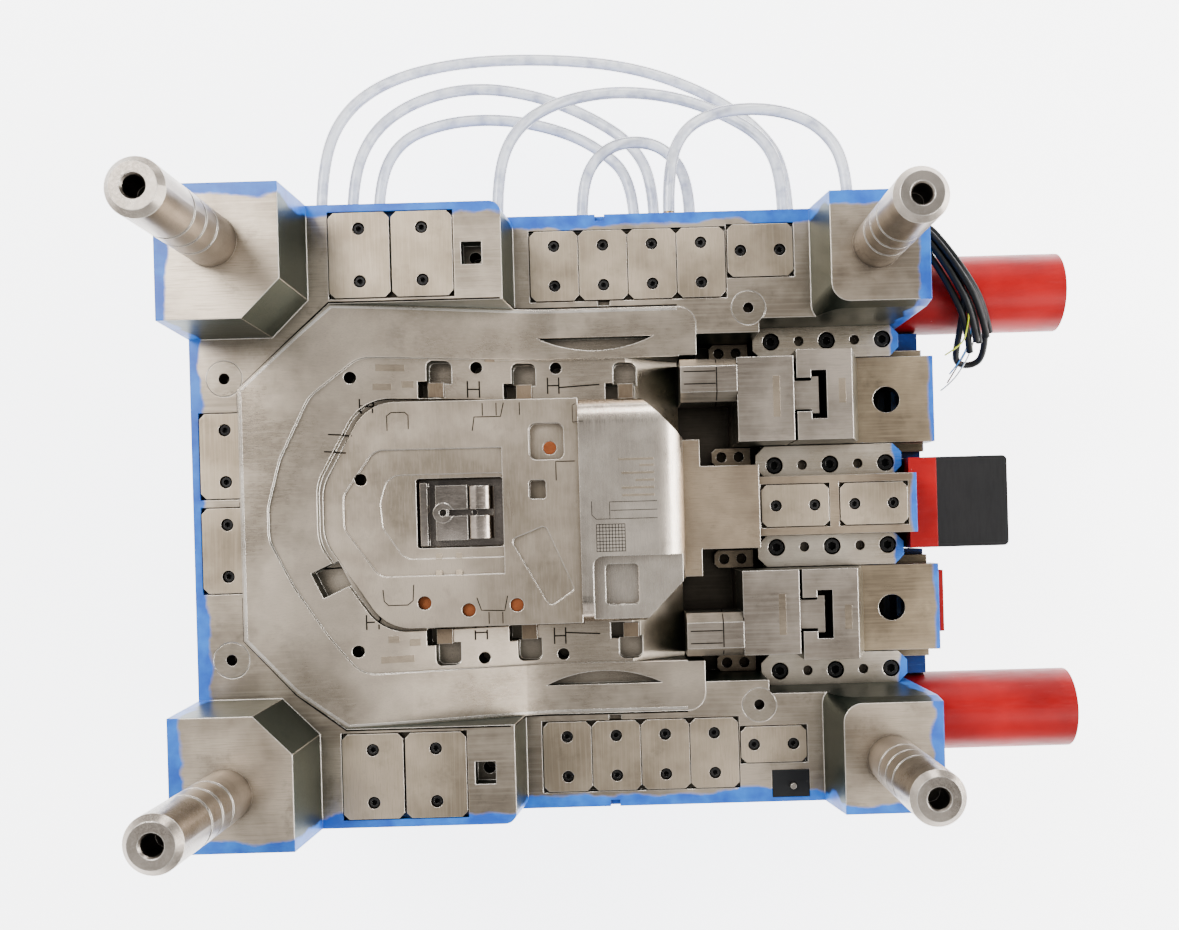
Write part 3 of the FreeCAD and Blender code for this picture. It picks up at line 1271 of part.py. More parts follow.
def ejector_plates():
    """Two plates that carry pins and lifters up through the core."""
    half_x, half_y = ejector_half_length, mm.ejector_half_width
    back = box("ejector_back", -half_x, half_x, -half_y, half_y, ejector_back, retainer_back)
    front = box("ejector_front", -half_x, half_x, -half_y, half_y, retainer_back, retainer_front)
    through = []
    for i, (x, y) in enumerate(PILLARS):
        through.append(rod("pillar_hole_%d" % i, mm.pillar_radius + 3, x, y, 0, core_back))
    for i, (x, y) in enumerate(EJECTOR_GUIDES):
        through.append(rod("guide_hole_%d" % i, mm.ejector_guide_radius + mm.bore_gap, x, y, 0,
                           core_back))
    node("ejector_plate", cut("ejector_plate", back, through))
    seats = []
    for spots, radius, head in ((pin_spots(), mm.ejector_pin_radius, mm.ejector_pin_head),
                                (return_spots(), mm.return_radius, mm.return_head)):
        for x, y in spots:
            seats.append(rod("pin_seat", radius, x, y, retainer_back, core_back))
            seats.append(rod("head_seat", head, x, y, retainer_back - clear,
                             retainer_back + mm.head_height))
    for name, x, y in LIFTERS:
        foot_x = lifter_foot_x(x)
        room = mm.lifter_foot + mm.lifter_shift * 2
        width = mm.lifter_width + mm.bore_gap * 2
        seats.append(box_about("foot_way_" + name, foot_x, room, y, width + 10,
                               retainer_back - clear, retainer_back + mm.lifter_foot_height + 0.05))
        seats.append(box_about("bar_way_" + name, foot_x, room, y, width, retainer_back, core_back))
    node("ejector_retainer", cut("ejector_retainer", front, seats + through))


def pin_spots():
    return EJECTOR_PINS


def return_spots():
    return [(x, y * side) for x, y in ((return_left_x, mm.return_left_y),
                                       (mm.return_right_x, mm.return_right_y)) for side in (-1, 1)]


def lifter_foot_x(x):
    """X of a lifter's foot, down where it slides in the retainer plate."""
    return x + (low_face - retainer_back) * tangent(mm.lifter_lean)


def ejector_pins():
    """Ejector pins flush with the centre insert, and return pins flush with the plate."""
    pins = []
    top = low_face + mm.centre_top
    for i, (x, y) in enumerate(EJECTOR_PINS):
        tip = top - 7.2 if i == 0 else top - 0.2
        master = turned("ejector_pin_%d" % i, [
            (0, retainer_back), (mm.ejector_pin_head, retainer_back),
            (mm.ejector_pin_head, retainer_back + mm.head_height),
            (mm.ejector_pin_radius, retainer_back + mm.head_height),
            (mm.ejector_pin_radius, tip), (0, tip)])
        pins.append(place(master, x, y, 0, ((1, 0, 0), 90)))
    node("ejector_pins", group("ejector_pins", pins))
    returns = []
    for i, (x, y) in enumerate(return_spots()):
        tip = high_face if i < 2 else low_face
        master = turned("return_pin_%d" % i, [
            (0, retainer_back), (mm.return_head, retainer_back),
            (mm.return_head, retainer_back + mm.head_height),
            (mm.return_radius, retainer_back + mm.head_height), (mm.return_radius, tip),
            (mm.return_tap_radius, tip), (mm.return_tap_radius, tip - 25), (0, tip - 25)])
        returns.append(place(master, x, y, 0, ((1, 0, 0), 90)))
    node("return_pins", group("return_pins", returns))


def lifters():
    """Leaning bars that free the undercuts: a head on the ring, a foot on the ejector plate."""
    for name, x, y in LIFTERS:
        top = slope_level(x) - mm.ring_depth
        bar = lifter_bar("bar_" + name, x, y, 0, retainer_back, top)
        foot = box_about("foot_" + name, lifter_foot_x(x), mm.lifter_foot, y, mm.lifter_width + 10,
                         retainer_back, retainer_back + mm.lifter_foot_height)
        node("lifter_" + name, fuse("lifter_" + name, [bar, foot]))


# ---------------------------------------------------------------- counter and hoses

def counter():
    """Stroke counter let into the plate, with a sprung plunger."""
    top = low_face + 0.5
    body = box_about("counter_body", mm.counter_x, mm.counter_length - 0.4, mm.counter_y,
                     mm.counter_width - 0.4, low_face - mm.counter_depth, top)
    well = rod("plunger_well", mm.plunger_radius + 0.1, mm.counter_x + 2, mm.counter_y - 2, top - 12,
               top + clear)
    node("counter_body", cut("counter_body", body, [well]))
    node("counter_plunger", rod("counter_plunger", mm.plunger_radius, mm.counter_x + 2,
                                mm.counter_y - 2, top - 7, top + mm.plunger_reach))


# Hoses: points of each route, from nipple to nipple, chosen by hand.
HOSES = {
    "hose_a": [(-259, 302, 205), (-259, 360, 205), (-243, 430, 193), (-195, 477, 176),
               (-115, 502, 160), (-15, 506, 152), (80, 493, 156), (160, 457, 168),
               (214, 410, 186), (239, 358, 205), (239, 302, 205)],
    "hose_b": [(-226, 302, 205), (-226, 356, 205), (-206, 415, 195), (-160, 453, 182),
               (-95, 470, 172), (-25, 458, 171), (32, 430, 180), (76, 395, 193), (96, 350, 205),
               (96, 302, 205)],
    "hose_c": [(-198, 302, 205), (-198, 354, 205), (-176, 405, 195), (-128, 427, 184),
               (-70, 432, 178), (-12, 420, 180), (36, 395, 191), (75, 354, 205), (75, 302, 205)],
    "hose_d": [(-68, 302, 235), (-68, 354, 235), (-48, 405, 227), (-5, 435, 216),
               (55, 448, 208), (118, 441, 208), (172, 418, 216), (214, 386, 228),
               (229, 342, 235), (229, 302, 235)],
    "hose_e": [(20, 302, 235), (20, 342, 235), (42, 378, 230), (76, 389, 227), (110, 378, 230),
               (132, 342, 235), (132, 302, 235)],
    "hose_f": [(109, 302, 265), (109, 348, 265), (128, 392, 257), (172, 411, 250),
               (226, 409, 250), (268, 388, 257), (291, 346, 265), (291, 302, 265)],
}
# Cable: the bundle of sensor leads that lies over the upper leg, as one solid.
CABLE_HANK = [(346, 280, 256), (366, 280, 256), (384, 256, 258), (402, 226, 260),
              (421, 194, 252), (431, 166, 232)]



def nipple_spots():
    return [(ends[0], ends[2]) for route in HOSES.values() for ends in (route[0], route[-1])]


def nipple_holes():
    holes = []
    for x, z in nipple_spots():
        hole = rod("nipple_hole", mm.nipple_radius, x, half_width - 12, 0, 20)
        hole.Placement = Placement(Vector(x, float(half_width) - 12, z), Rotation(Vector(1, 0, 0), -90))
        hole.setExpression("Placement.Base.z", None)
        holes.append(hole)
    return holes


def nipples():
    """Turned hose connectors screwed into the upper side."""
    reach, radius = mm.nipple_reach, mm.nipple_radius
    master = turned("nipple", [(0, -12), (radius, -12), (radius, 0), (mm.nipple_hex_radius, 0),
                               (mm.nipple_hex_radius, 8), (radius, 8), (radius, reach), (0, reach)])
    master.Placement = Placement(Vector(0, 0, 0), Rotation(Vector(1, 0, 0), 90))
    things = [copy_at("nipple_%d" % i, master, x, half_width, z)
              for i, (x, z) in enumerate(nipple_spots())]
    node("hose_nipples", group("hose_nipples", things))


def rounded_path(points):
    """Straight runs joined by the largest tangent arcs that they allow, and their radii."""
    points = [Vector(*p) for p in points]
    edges, radii = [], []
    start = points[0]
    for before, corner, after in zip(points, points[1:], points[2:]):
        come, go = corner - before, after - corner
        shorter = min(come.Length, go.Length)
        half_turn = come.getAngle(go) / 2
        setback = 0.45 * shorter
        radii.append(setback / math.tan(half_turn))
        come.normalize()
        go.normalize()
        first, last = corner - come * setback, corner + go * setback
        chord = (first + last) / 2 - corner
        sagitta = radii[-1] * (1 / math.cos(half_turn) - 1)
        top = corner + chord.normalize() * sagitta
        edges += [Part.LineSegment(start, first).toShape(), Part.Arc(first, top, last).toShape()]
        start = last
    edges.append(Part.LineSegment(start, points[-1]).toShape())
    return Part.Wire(edges), radii


def tube(name, points, radius):
    """A cord's solid: a round section swept along its rounded path."""
    path, radii = rounded_path(points)
    start = Vector(*points[0])
    section = Part.Wire(Part.Circle(start, Vector(*points[1]) - start, float(radius)).toShape())
    sweep = Part.BRepOffsetAPI.MakePipeShell(path)
    sweep.setFrenetMode(False)
    sweep.add(section)
    sweep.build()
    sweep.makeSolid()
    thing = doc.addObject("Part::Feature", name)
    thing.Shape = sweep.shape()
    wanted = math.pi * float(radius) ** 2 * path.Length
    print("%s: length %.0f, tightest radius %.0f, volume off by %.2f %%"
          % (name, path.Length, min(radii), 100 * (thing.Shape.Volume / wanted - 1)))
    return thing


def cords():
    """Clear water hoses between the nipples, and the black sensor cable."""
    for name, route in HOSES.items():
        node(name, tube(name, route, mm.hose_radius))
    node("cable_hank", tube("cable_hank", CABLE_HANK, mm.hank_radius))


# ---------------------------------------------------------------- the whole mould half

node("clamp_plate", clamp_plate())
spacers()
ejector_box()
node("clamp_screws", group("clamp_screws", clamp_screws_at(0, "clamp_screw")))
node("core_plate", core_plate())
guide_pins()
node("core_insert", core_insert())
node("centre_insert", centre_insert())
node("saddle_insert", saddle_insert())
node("tail_insert", tail_insert())
wear_plates()
node("plate_screws", group("plate_screws", small_screws("plate_screw", screw_spots(), 0)))
gibs()
node("gib_screws", group("gib_screws", gib_screws("gib_screw", 0)))
side_slides()
centre_slide()
cylinder()
legs()
ejector_plates()
ejector_pins()
lifters()
counter()
nipples()
cords()
doc.recompute()

for thing in doc.Objects:
    if "Invalid" in thing.State or "Error" in thing.State:
        raise RuntimeError("%s failed: %s" % (thing.Name, thing.State))
os.makedirs("parts", exist_ok=True)
for name, thing in nodes.items():
    shape = Part.getShape(thing)
    if shape.isNull() or not shape.isValid() or shape.Volume < 1:
        raise RuntimeError("%s has no valid shape" % name)
    shape.exportStep("parts/%s.step" % name)
print("%d pieces written" % len(nodes))
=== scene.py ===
"""Looks of an injection mould half, put together in the order of its pieces."""
import math

import bmesh
import bpy
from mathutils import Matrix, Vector
from mathutils.bvhtree import BVHTree


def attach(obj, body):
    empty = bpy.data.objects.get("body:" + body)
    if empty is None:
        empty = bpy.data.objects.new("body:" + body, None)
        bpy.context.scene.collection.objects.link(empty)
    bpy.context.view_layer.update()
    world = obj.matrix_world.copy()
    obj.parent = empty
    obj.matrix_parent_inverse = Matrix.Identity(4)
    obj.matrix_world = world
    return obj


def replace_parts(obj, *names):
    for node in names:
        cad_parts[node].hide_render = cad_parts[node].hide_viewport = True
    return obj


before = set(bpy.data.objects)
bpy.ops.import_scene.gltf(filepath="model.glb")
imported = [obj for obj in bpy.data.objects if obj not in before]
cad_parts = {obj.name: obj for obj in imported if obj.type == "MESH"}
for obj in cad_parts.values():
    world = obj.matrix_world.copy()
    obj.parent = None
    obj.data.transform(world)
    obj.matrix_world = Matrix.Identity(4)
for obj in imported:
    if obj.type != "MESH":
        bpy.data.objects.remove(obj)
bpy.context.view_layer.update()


# ---- Clamp plate and spacers ----
# Plates of mould steel, face-milled in long passes; the outer sides are brushed
# with blue enamel that runs unevenly over the edges of the milled faces.

def linear(code):
    """sRGB hex code to a linear colour."""
    parts = [int(code[i:i + 2], 16) / 255 for i in (0, 2, 4)]
    return [c / 12.92 if c < 0.04045 else ((c + 0.055) / 1.055) ** 2.4 for c in parts] + [1.0]


def add(tree, kind, settings=None, out=0, **inputs):
    """Adds a shader node with its settings, values and links, and gives back one output.

    A keyword names an input socket, with _ for each space, or is _ and the socket's number.
    """
    node = tree.nodes.new(kind)
    for key, value in (settings or {}).items():
        setattr(node, key, value)
    for key, value in inputs.items():
        socket = node.inputs[int(key[1:])] if key[0] == "_" else node.inputs[key.replace("_", " ")]
        if isinstance(value, bpy.types.NodeSocket):
            tree.links.new(value, socket)
        else:
            socket.default_value = value
    return node.outputs[out]


def new_finish(name):
    """An empty material: its tree, its shader and the place on the object in metres."""
    material = bpy.data.materials.new(name)
    material.use_nodes = True
    tree = material.node_tree
    return material, tree, tree.nodes["Principled BSDF"], add(tree, "ShaderNodeTexCoord", out=3)


def mould_steel(name, light, dark, stain_and_shade, along="X", pitch=2.6, run=90, gloss=0.3, depth=0.10,
                stains=0.5, edge=0.8, edge_highlight="f3ebe0", wall_shade=0.0):
    """Cut steel: lines pitch mm wide and run mm long, cloudy tone, painted shade in corners,
    painted highlights on edges.

    gloss is the lowest roughness, depth the height of the cutter marks in mm, edge the
    width in mm of the rounded edges that carry a painted highlight, and wall_shade how much
    dark greenish painted shade lies on upright and steep faces. The sizes of clouds, blots
    and the painted shade in corners are in mm, and the fine marks are so many times finer
    than the wide ones.
    """
    material, tree, shader, place = new_finish(name)
    cloud, blot, shade_reach = 125, 33.33, 30
    finer = 4
    marks = [1000 / (run if axis == along else pitch) for axis in "XYZ"]
    wide = add(tree, "ShaderNodeTexNoise", Scale=1.0, Detail=5.0, Roughness=0.6,
               Vector=add(tree, "ShaderNodeMapping", Vector=place, Scale=marks))
    fine = add(tree, "ShaderNodeTexNoise", Scale=1.0, Detail=4.0, Roughness=0.6,
               Vector=add(tree, "ShaderNodeMapping", Vector=place,
                          Scale=[finer * mark for mark in marks]))
    clouds = add(tree, "ShaderNodeTexNoise", Vector=place, Scale=1000 / cloud, Detail=5.0,
                 Roughness=0.6)
    blots = add(tree, "ShaderNodeTexNoise", Vector=place, Scale=1000 / blot, Detail=7.0,
                Roughness=0.7)

    # the bare metal: slow clouds, then pale and dark cutter lines, then dull blots
    tone = add(tree, "ShaderNodeMix", {"data_type": "RGBA"}, out=2, _6=linear(dark),
               _7=linear(light), _0=add(tree, "ShaderNodeMapRange", Value=clouds, From_Min=0.4,
                                        From_Max=0.6))
    tone = add(tree, "ShaderNodeMix", {"data_type": "RGBA"}, out=2, _6=tone, _7=linear(light),
               _0=add(tree, "ShaderNodeMapRange", Value=wide, From_Min=0.45, From_Max=0.7,
                      To_Max=0.5))
    tone = add(tree, "ShaderNodeMix", {"data_type": "RGBA"}, out=2, _6=tone, _7=linear(dark),
               _0=add(tree, "ShaderNodeMapRange", Value=fine, From_Min=0.5, From_Max=0.64,
                      To_Max=0.45))
    tone = add(tree, "ShaderNodeMix", {"data_type": "RGBA"}, out=2, _6=tone, _7=linear(stain_and_shade),
               _0=add(tree, "ShaderNodeMapRange", Value=blots, From_Min=0.56, From_Max=0.74,
                      To_Max=stains))

    # painted shade: a dark colour, near black, mixed into corners and hollows by ambient occlusion
    hollow_shade = add(tree, "ShaderNodeAmbientOcclusion", {"samples": 4}, out=1,
                 Distance=shade_reach / 1000)
    tone = add(tree, "ShaderNodeMix", {"data_type": "RGBA"}, out=2, _6=tone, _7=linear(stain_and_shade),
               _0=add(tree, "ShaderNodeMapRange", Value=hollow_shade, From_Min=0.2, From_Max=0.72,
                      To_Min=0.97, To_Max=0.0))
    # painted shade: a dark greenish colour on upright and steep faces, stronger the steeper the
    # face
    flat = add(tree, "ShaderNodeNewGeometry", out=3)
    upward = add(tree, "ShaderNodeSeparateXYZ", out=2, Vector=flat)
    steep = add(tree, "ShaderNodeMapRange", Value=upward, From_Min=0.45, From_Max=0.85,
                To_Min=wall_shade, To_Max=0.0)
    tone = add(tree, "ShaderNodeMix", {"data_type": "RGBA"}, out=2, _0=steep, _6=tone,
               _7=linear("1d3531"))

    # cutter marks stand up from the face; the shading normal is rounded over the edges, which get
    # a painted highlight
    grain = add(tree, "ShaderNodeMath", {"operation": "ADD"}, _0=wide, _1=add(
        tree, "ShaderNodeMath", {"operation": "MULTIPLY"}, _0=fine, _1=0.5))
    broken = add(tree, "ShaderNodeBevel", {"samples": 4}, Radius=edge / 1000)
    normal = add(tree, "ShaderNodeBump", Height=grain, Strength=0.4, Distance=depth / 1000,
                 Normal=broken)
    turned = add(tree, "ShaderNodeVectorMath", {"operation": "DOT_PRODUCT"}, out=1, _0=broken,
                 _1=flat)
    # painted highlight: a pale colour where the rounded edge turns away from the face
    tone = add(tree, "ShaderNodeMix", {"data_type": "RGBA"}, out=2, _6=tone, _7=linear(edge_highlight),
               _0=add(tree, "ShaderNodeMapRange", Value=turned, From_Min=0.90, From_Max=0.995,
                      To_Min=0.8, To_Max=0.0))
    tree.links.new(tone, shader.inputs["Base Color"])
    tree.links.new(normal, shader.inputs["Normal"])
    tree.links.new(add(tree, "ShaderNodeMath", {"operation": "ADD"},
                       _0=add(tree, "ShaderNodeMapRange", Value=clouds, From_Min=0.3,
                              From_Max=0.7, To_Min=gloss, To_Max=gloss + 0.14),
                       _1=add(tree, "ShaderNodeMapRange", Value=fine, From_Min=0.4,
                              From_Max=0.65, To_Max=0.08)), shader.inputs["Roughness"])
    shader.inputs["Metallic"].default_value = 1.0
    return material


def half_reach(node, axis):
    """How far a solid reaches from the middle of the mould along one axis, in metres."""
    return max(abs(vertex.co[axis]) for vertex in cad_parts[node].data.vertices)


def brushed_blue(material, half_x, half_y, edge):
    """Blue enamel outside half_x and half_y (m), running in over the top by about edge (m).

    The brush leaves a ragged line and streaks about 22 mm apart. Deep holes get painted shade,
    near black.
    """
    ragged_size, streak, hole_shade_reach = 41.67, 22.22, 90
    tree = material.node_tree
    shader = tree.nodes["Principled BSDF"]
    place = add(tree, "ShaderNodeTexCoord", out=3)
    steel = shader.inputs["Base Color"].links[0].from_socket
    axes = add(tree, "ShaderNodeSeparateXYZ", Vector=place).node
    reach = []
    for axis, half in ((0, half_x), (1, half_y)):
        away = add(tree, "ShaderNodeMath", {"operation": "ABSOLUTE"}, _0=axes.outputs[axis])
        reach.append(add(tree, "ShaderNodeMath", {"operation": "SUBTRACT"}, _0=away,
                         _1=half - edge))
    furthest = add(tree, "ShaderNodeMath", {"operation": "MAXIMUM"}, _0=reach[0], _1=reach[1])
    ragged = add(tree, "ShaderNodeMapRange", From_Min=0.3, From_Max=0.7, To_Min=-edge * 0.3,
                 To_Max=edge * 0.8, Value=add(tree, "ShaderNodeTexNoise", Vector=place,
                                              Scale=1000 / ragged_size, Detail=5.0))
    mask = add(tree, "ShaderNodeMapRange", From_Min=-0.0012, From_Max=0.0018, Value=add(
        tree, "ShaderNodeMath", {"operation": "ADD"}, _0=furthest, _1=ragged))
    streaky = add(tree, "ShaderNodeMapRange", From_Min=0.35, From_Max=0.65, Value=add(
        tree, "ShaderNodeTexNoise", Vector=place, Scale=1000 / streak, Detail=4.0))
    blue = add(tree, "ShaderNodeMix", {"data_type": "RGBA"}, out=2, _0=streaky,
               _6=linear("0a48a8"), _7=linear("176cc8"))
    # painted shade: the blue turns near black deep in holes
    hollow_shade = add(tree, "ShaderNodeAmbientOcclusion", {"samples": 4}, out=1,
                 Distance=hole_shade_reach / 1000)
    blue = add(tree, "ShaderNodeMix", {"data_type": "RGBA"}, out=2, _6=blue,
               _7=linear("050505"), _0=add(tree, "ShaderNodeMapRange", Value=hollow_shade,
                                           From_Min=0.12, From_Max=0.35, To_Min=1.0, To_Max=0.0))
    tree.links.new(add(tree, "ShaderNodeMix", {"data_type": "RGBA"}, out=2, _0=mask, _6=steel,
                       _7=blue), shader.inputs["Base Color"])
    tree.links.new(add(tree, "ShaderNodeMath", {"operation": "SUBTRACT"}, _0=1.0, _1=mask),
                   shader.inputs["Metallic"])
    return material


def finish_nodes(material, *nodes):
    """Gives solids of the frame this finish."""
    for name in nodes:
        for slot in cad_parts[name].material_slots:
            slot.material = material


for node, along, run_over in (("clamp_plate", "Y", 0.006), ("spacers", "Z", 0.004)):
    plain = mould_steel(node + "_steel", "958b7d", "6b6357", "2c2a26", along)
    finish_nodes(brushed_blue(plain, half_reach(node, 0), half_reach(node, 1), run_over), node)


# ---- Ejector box ----
# Support pillars, guide pins and the two ejector plates: plain ground steel that
# stays out of sight, darker from oil.
finish_nodes(mould_steel("ejector_plate_steel", "a0978a", "776e62", "35322c", "Y"),
             "support_pillars", "ejector_plate", "ejector_retainer", "ejector_guide_pins")


# ---- Core plate ----
# The big plate with its four corner blocks, milled from one block in passes
# about 2.6 mm apart, blue outside. Warm grey with painted shade in its corners and on steep faces.
# The floor of the bay below the slides gets painted shade, near black, up to the height of the
# gibs.
PLATE_HALF_Y = half_reach("core_plate", 1)
core_plate_look = brushed_blue(
    mould_steel("core_plate_steel", "c6b6a2", "8c7f6f", "2c2924", "X", gloss=0.28, depth=0.12,
                edge=1.4, wall_shade=0.92), half_reach("core_plate", 0), PLATE_HALF_Y, 0.009)
tree = core_plate_look.node_tree
shader = tree.nodes["Principled BSDF"]
BAY_FLOOR, BAY_SHADE_TOP = 0.222, 0.250
height = add(tree, "ShaderNodeSeparateXYZ", out=2, Vector=add(tree, "ShaderNodeTexCoord", out=3))
# painted shade: unpainted steel below the top of the gibs turns near black
bay_shade = add(tree, "ShaderNodeMapRange", Value=height, From_Min=BAY_FLOOR, From_Max=BAY_SHADE_TOP,
           To_Min=0.85, To_Max=0.0)
inside = add(tree, "ShaderNodeMath", {"operation": "MULTIPLY"}, _0=bay_shade,
             _1=shader.inputs["Metallic"].links[0].from_socket)
tree.links.new(add(tree, "ShaderNodeMix", {"data_type": "RGBA"}, out=2, _0=inside,
                   _6=shader.inputs["Base Color"].links[0].from_socket, _7=linear("0f0d0b")),
               shader.inputs["Base Color"])
finish_nodes(core_plate_look, "core_plate")


# ---- Core insert ----
# One block with the sloping face and the shallow moulding ring, milled finely and
# then stoned by hand, so the marks are short and the face is paler than the plate.
finish_nodes(mould_steel("core_insert_steel", "cfbfab", "a39482", "433d34", "X", 1.8, 26,
                         gloss=0.22, depth=0.05, stains=0.3, edge=1.3, wall_shade=0.75), "core_insert")


# ---- Centre, tail and saddle inserts ----
# The middle of the core is stoned like its surround; the tail block and the
# saddle are polished, so they mirror the room in soft bands.
finish_nodes(mould_steel("centre_insert_steel", "d0bfab", "a69682", "4a4338", "Y", 1.6, 20,
                         gloss=0.25, depth=0.04, stains=0.3, edge=1.2), "centre_insert")
finish_nodes(mould_steel("polished_tail_steel", "d8cbbb", "a79a8c", "554d45", "Y", 3.0, 60,
                         gloss=0.17, depth=0.008, stains=0.25, edge=0.8), "tail_insert")
finish_nodes(mould_steel("polished_saddle_steel", "cdbfb2", "8f8378", "3b3532", "X", 3.0, 10,
                         gloss=0.14, depth=0.02, stains=0.3, edge=1.0), "saddle_insert")


# ---- Wear plates ----
# Hardened plates, surface ground in lines 1.6 mm apart as drawn here (finer on
# the real ones), with chamfered corners that catch the light.
finish_nodes(mould_steel("ground_wear_steel", "c4b29b", "988873", "4a4236", "Y", 1.6, 60,
                         gloss=0.32, depth=0.04, stains=0.35, edge=0.7),
             "wear_plates_tall", "wear_plates_low", "wear_plates_end", "wear_plates_side",
             "slide_wear_plates")


# ---- Guide pins ----
# Hardened steel, ground round and bright, with a fine grain that runs no way more
# than another; the cylinder rod and the counter's plunger are ground as the pins are.
finish_nodes(mould_steel("ground_pin_steel", "b9aea2", "7b7268", "35312c", "none", 2.0, 0,
                         gloss=0.22, depth=0.03, stains=0.3, edge=1.0),
             "guide_pins_left", "guide_pins_right", "cylinder_rod", "counter_plunger")


# ---- Return pins, lifters and ejector pins ----
# Hardened bars and pins with ground ends, fitted in bores and ways of the core. The
# lifters are dull and oily, and the ejector pins are tinted copper brown by heat.
finish_nodes(mould_steel("return_pin_steel", "b9ab99", "8e8272", "46403a", "X", 2.2, 8,
                         gloss=0.26, depth=0.03, edge=0.8), "return_pins")
finish_nodes(mould_steel("lifter_steel", "94806a", "6f604f", "2d251d", "Y", 1.5, 12,
                         gloss=0.3, depth=0.03, edge=0.6),
             *[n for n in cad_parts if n.startswith("lifter_")])
finish_nodes(mould_steel("heat_tinted_pin_steel", "b0683f", "8a4a2c", "54301f", "X", 1.5, 6,
                         gloss=0.36, depth=0.03, stains=0.3, edge=0.5, edge_highlight="c59a80"),
             "ejector_pins")


# ---- Slides and gibs ----
# Slides milled all over and ground where they run, in gibs of ground steel, with dark oil
# blots and painted shade in the corners. Blue enamel runs over their outer ends.
SLIDE_CUT = {"along": "X", "pitch": 2.4, "run": 60, "depth": 0.06, "stains": 0.4, "edge": 1.0,
             "wall_shade": 0.7}
finish_nodes(mould_steel("side_slide_steel", "c2b4a4", "8b7f72", "2b271f", gloss=0.24,
                         **SLIDE_CUT),
             "upper_slide_wedge_block", "upper_slide_head", "lower_slide_wedge_block",
             "lower_slide_head")
for name, light, dark, stain_and_shade, run_over, nodes in (
        ("carriage_steel", "bba688", "857560", "2b271f", 0.004,
         ("upper_slide_carriage", "lower_slide_carriage")),
        ("centre_slide_steel", "b5a188", "847260", "2f2a23", 0.005, ("centre_slide",))):
    plain = mould_steel(name, light, dark, stain_and_shade, gloss=0.26, **SLIDE_CUT)
    finish_nodes(brushed_blue(plain, half_reach(nodes[0], 0), PLATE_HALF_Y, run_over), *nodes)
finish_nodes(brushed_blue(mould_steel("gib_steel", "efe1cd", "bfae98", "383229", "X", 1.8, 70,
                                      gloss=0.22, depth=0.04, stains=0.45, edge=0.8),
                          half_reach("gib_inner_upper", 0), PLATE_HALF_Y, 0.007),
             "gib_inner_upper", "gib_inner_lower", "gib_outer_upper", "gib_outer_lower")
finish_nodes(mould_steel("front_gib_steel", "a8967f", "7b6c5a", "221e18", "X", 1.8, 30,
                         gloss=0.3, depth=0.04, stains=0.45, edge=0.6), "front_gibs")


# ---- Parting lines, small inserts and marks ----
# Where hardened inserts meet, the joint shows as a hairline of black oil, and small
# ground inserts stand a hair proud. The joints are drawn about 1 mm wide so that they
# show. Places, widths and heights are in mm.

def new_piece(name, mesh, material, body):
    """An object of its own from a bmesh, riding on a body of the frame."""
    data = bpy.data.meshes.new(name)
    mesh.to_mesh(data)
    mesh.free()
    data.materials.append(material)
    thing = bpy.data.objects.new(name, data)
    bpy.context.scene.collection.objects.link(thing)
    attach(thing, body)
    return thing


def laid_strips(name, lines, material, body, *under, width, rise):
    """Strips along lines of (x, y), so wide and so high over the surface of the solids under.

    They follow the surface every step and reach sunk below it, both in metres.
    """
    step, sunk = 0.004, 0.0004
    from_above, open_level = 0.6, 0.3
    verts, faces = [], []
    for node in under:
        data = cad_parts[node].data
        faces += [[len(verts) + i for i in face.vertices] for face in data.polygons]
        verts += [v.co.copy() for v in data.vertices]
    surface = BVHTree.FromPolygons(verts, faces)
    mesh = bmesh.new()
    for line in lines:
        corners = [Vector((x / 1000, y / 1000)) for x, y in line]
        path = [corners[0]]
        for start, end in zip(corners, corners[1:]):
            parts = max(1, round((end - start).length / step))
            path += [start.lerp(end, k / parts) for k in range(1, parts + 1)]
        rows = []
        for i, spot in enumerate(path):
            ahead = path[min(i + 1, len(path) - 1)] - path[max(i - 1, 0)]
            across = Vector((-ahead.y, ahead.x)).normalized() * width / 2000
            row = []
            for side in (-1, 1):
                x, y = spot + across * side
                hit = surface.ray_cast(Vector((x, y, from_above)), Vector((0, 0, -1)))[0]
                z = hit.z if hit else open_level
                row += [mesh.verts.new((x, y, z - sunk)), mesh.verts.new((x, y, z + rise / 1000))]
            rows.append(row)
        for a, b in zip(rows, rows[1:]):
            for i, j in ((0, 1), (1, 3), (3, 2), (2, 0)):
                mesh.faces.new((a[i], a[j], b[j], b[i]))
        mesh.faces.new((rows[0][0], rows[0][2], rows[0][3], rows[0][1]))
        mesh.faces.new((rows[-1][1], rows[-1][3], rows[-1][2], rows[-1][0]))
    bmesh.ops.recalc_face_normals(mesh, faces=mesh.faces)
    new_piece(name, mesh, material, body)


def ladder(x, low, high, width=11):
    """Two short joints across the groove with a third between them, like an H."""
    middle = (low + high) / 2
    return [[(x, low), (x, high)], [(x + width, low), (x + width, high)],
            [(x, middle), (x + width, middle)]]


oil_line = mould_steel("oil_in_joints", "1f1c19", "141210", "080808", "X", 2, 4, gloss=0.5,
                       edge=0.1, edge_highlight="24211e")
core_joints = (ladder(-191, 97, 110) + ladder(-93, 112, 128) + ladder(-17, 116, 132)
               + ladder(-190, -107, -93) + ladder(-92, -122, -108) + ladder(-17, -130, -114)
               + [[(-6, 122), (34, 124)], [(-6, -119), (28, -121)], [(-220, 77), (-200, 76)],
                  [(-224, 61), (-206, 60)], [(-231, -49), (-211, -48)]])
laid_strips("core_parting_lines", core_joints, oil_line, "mould_base", "core_insert",
            "centre_insert", width=1.3, rise=0.15)
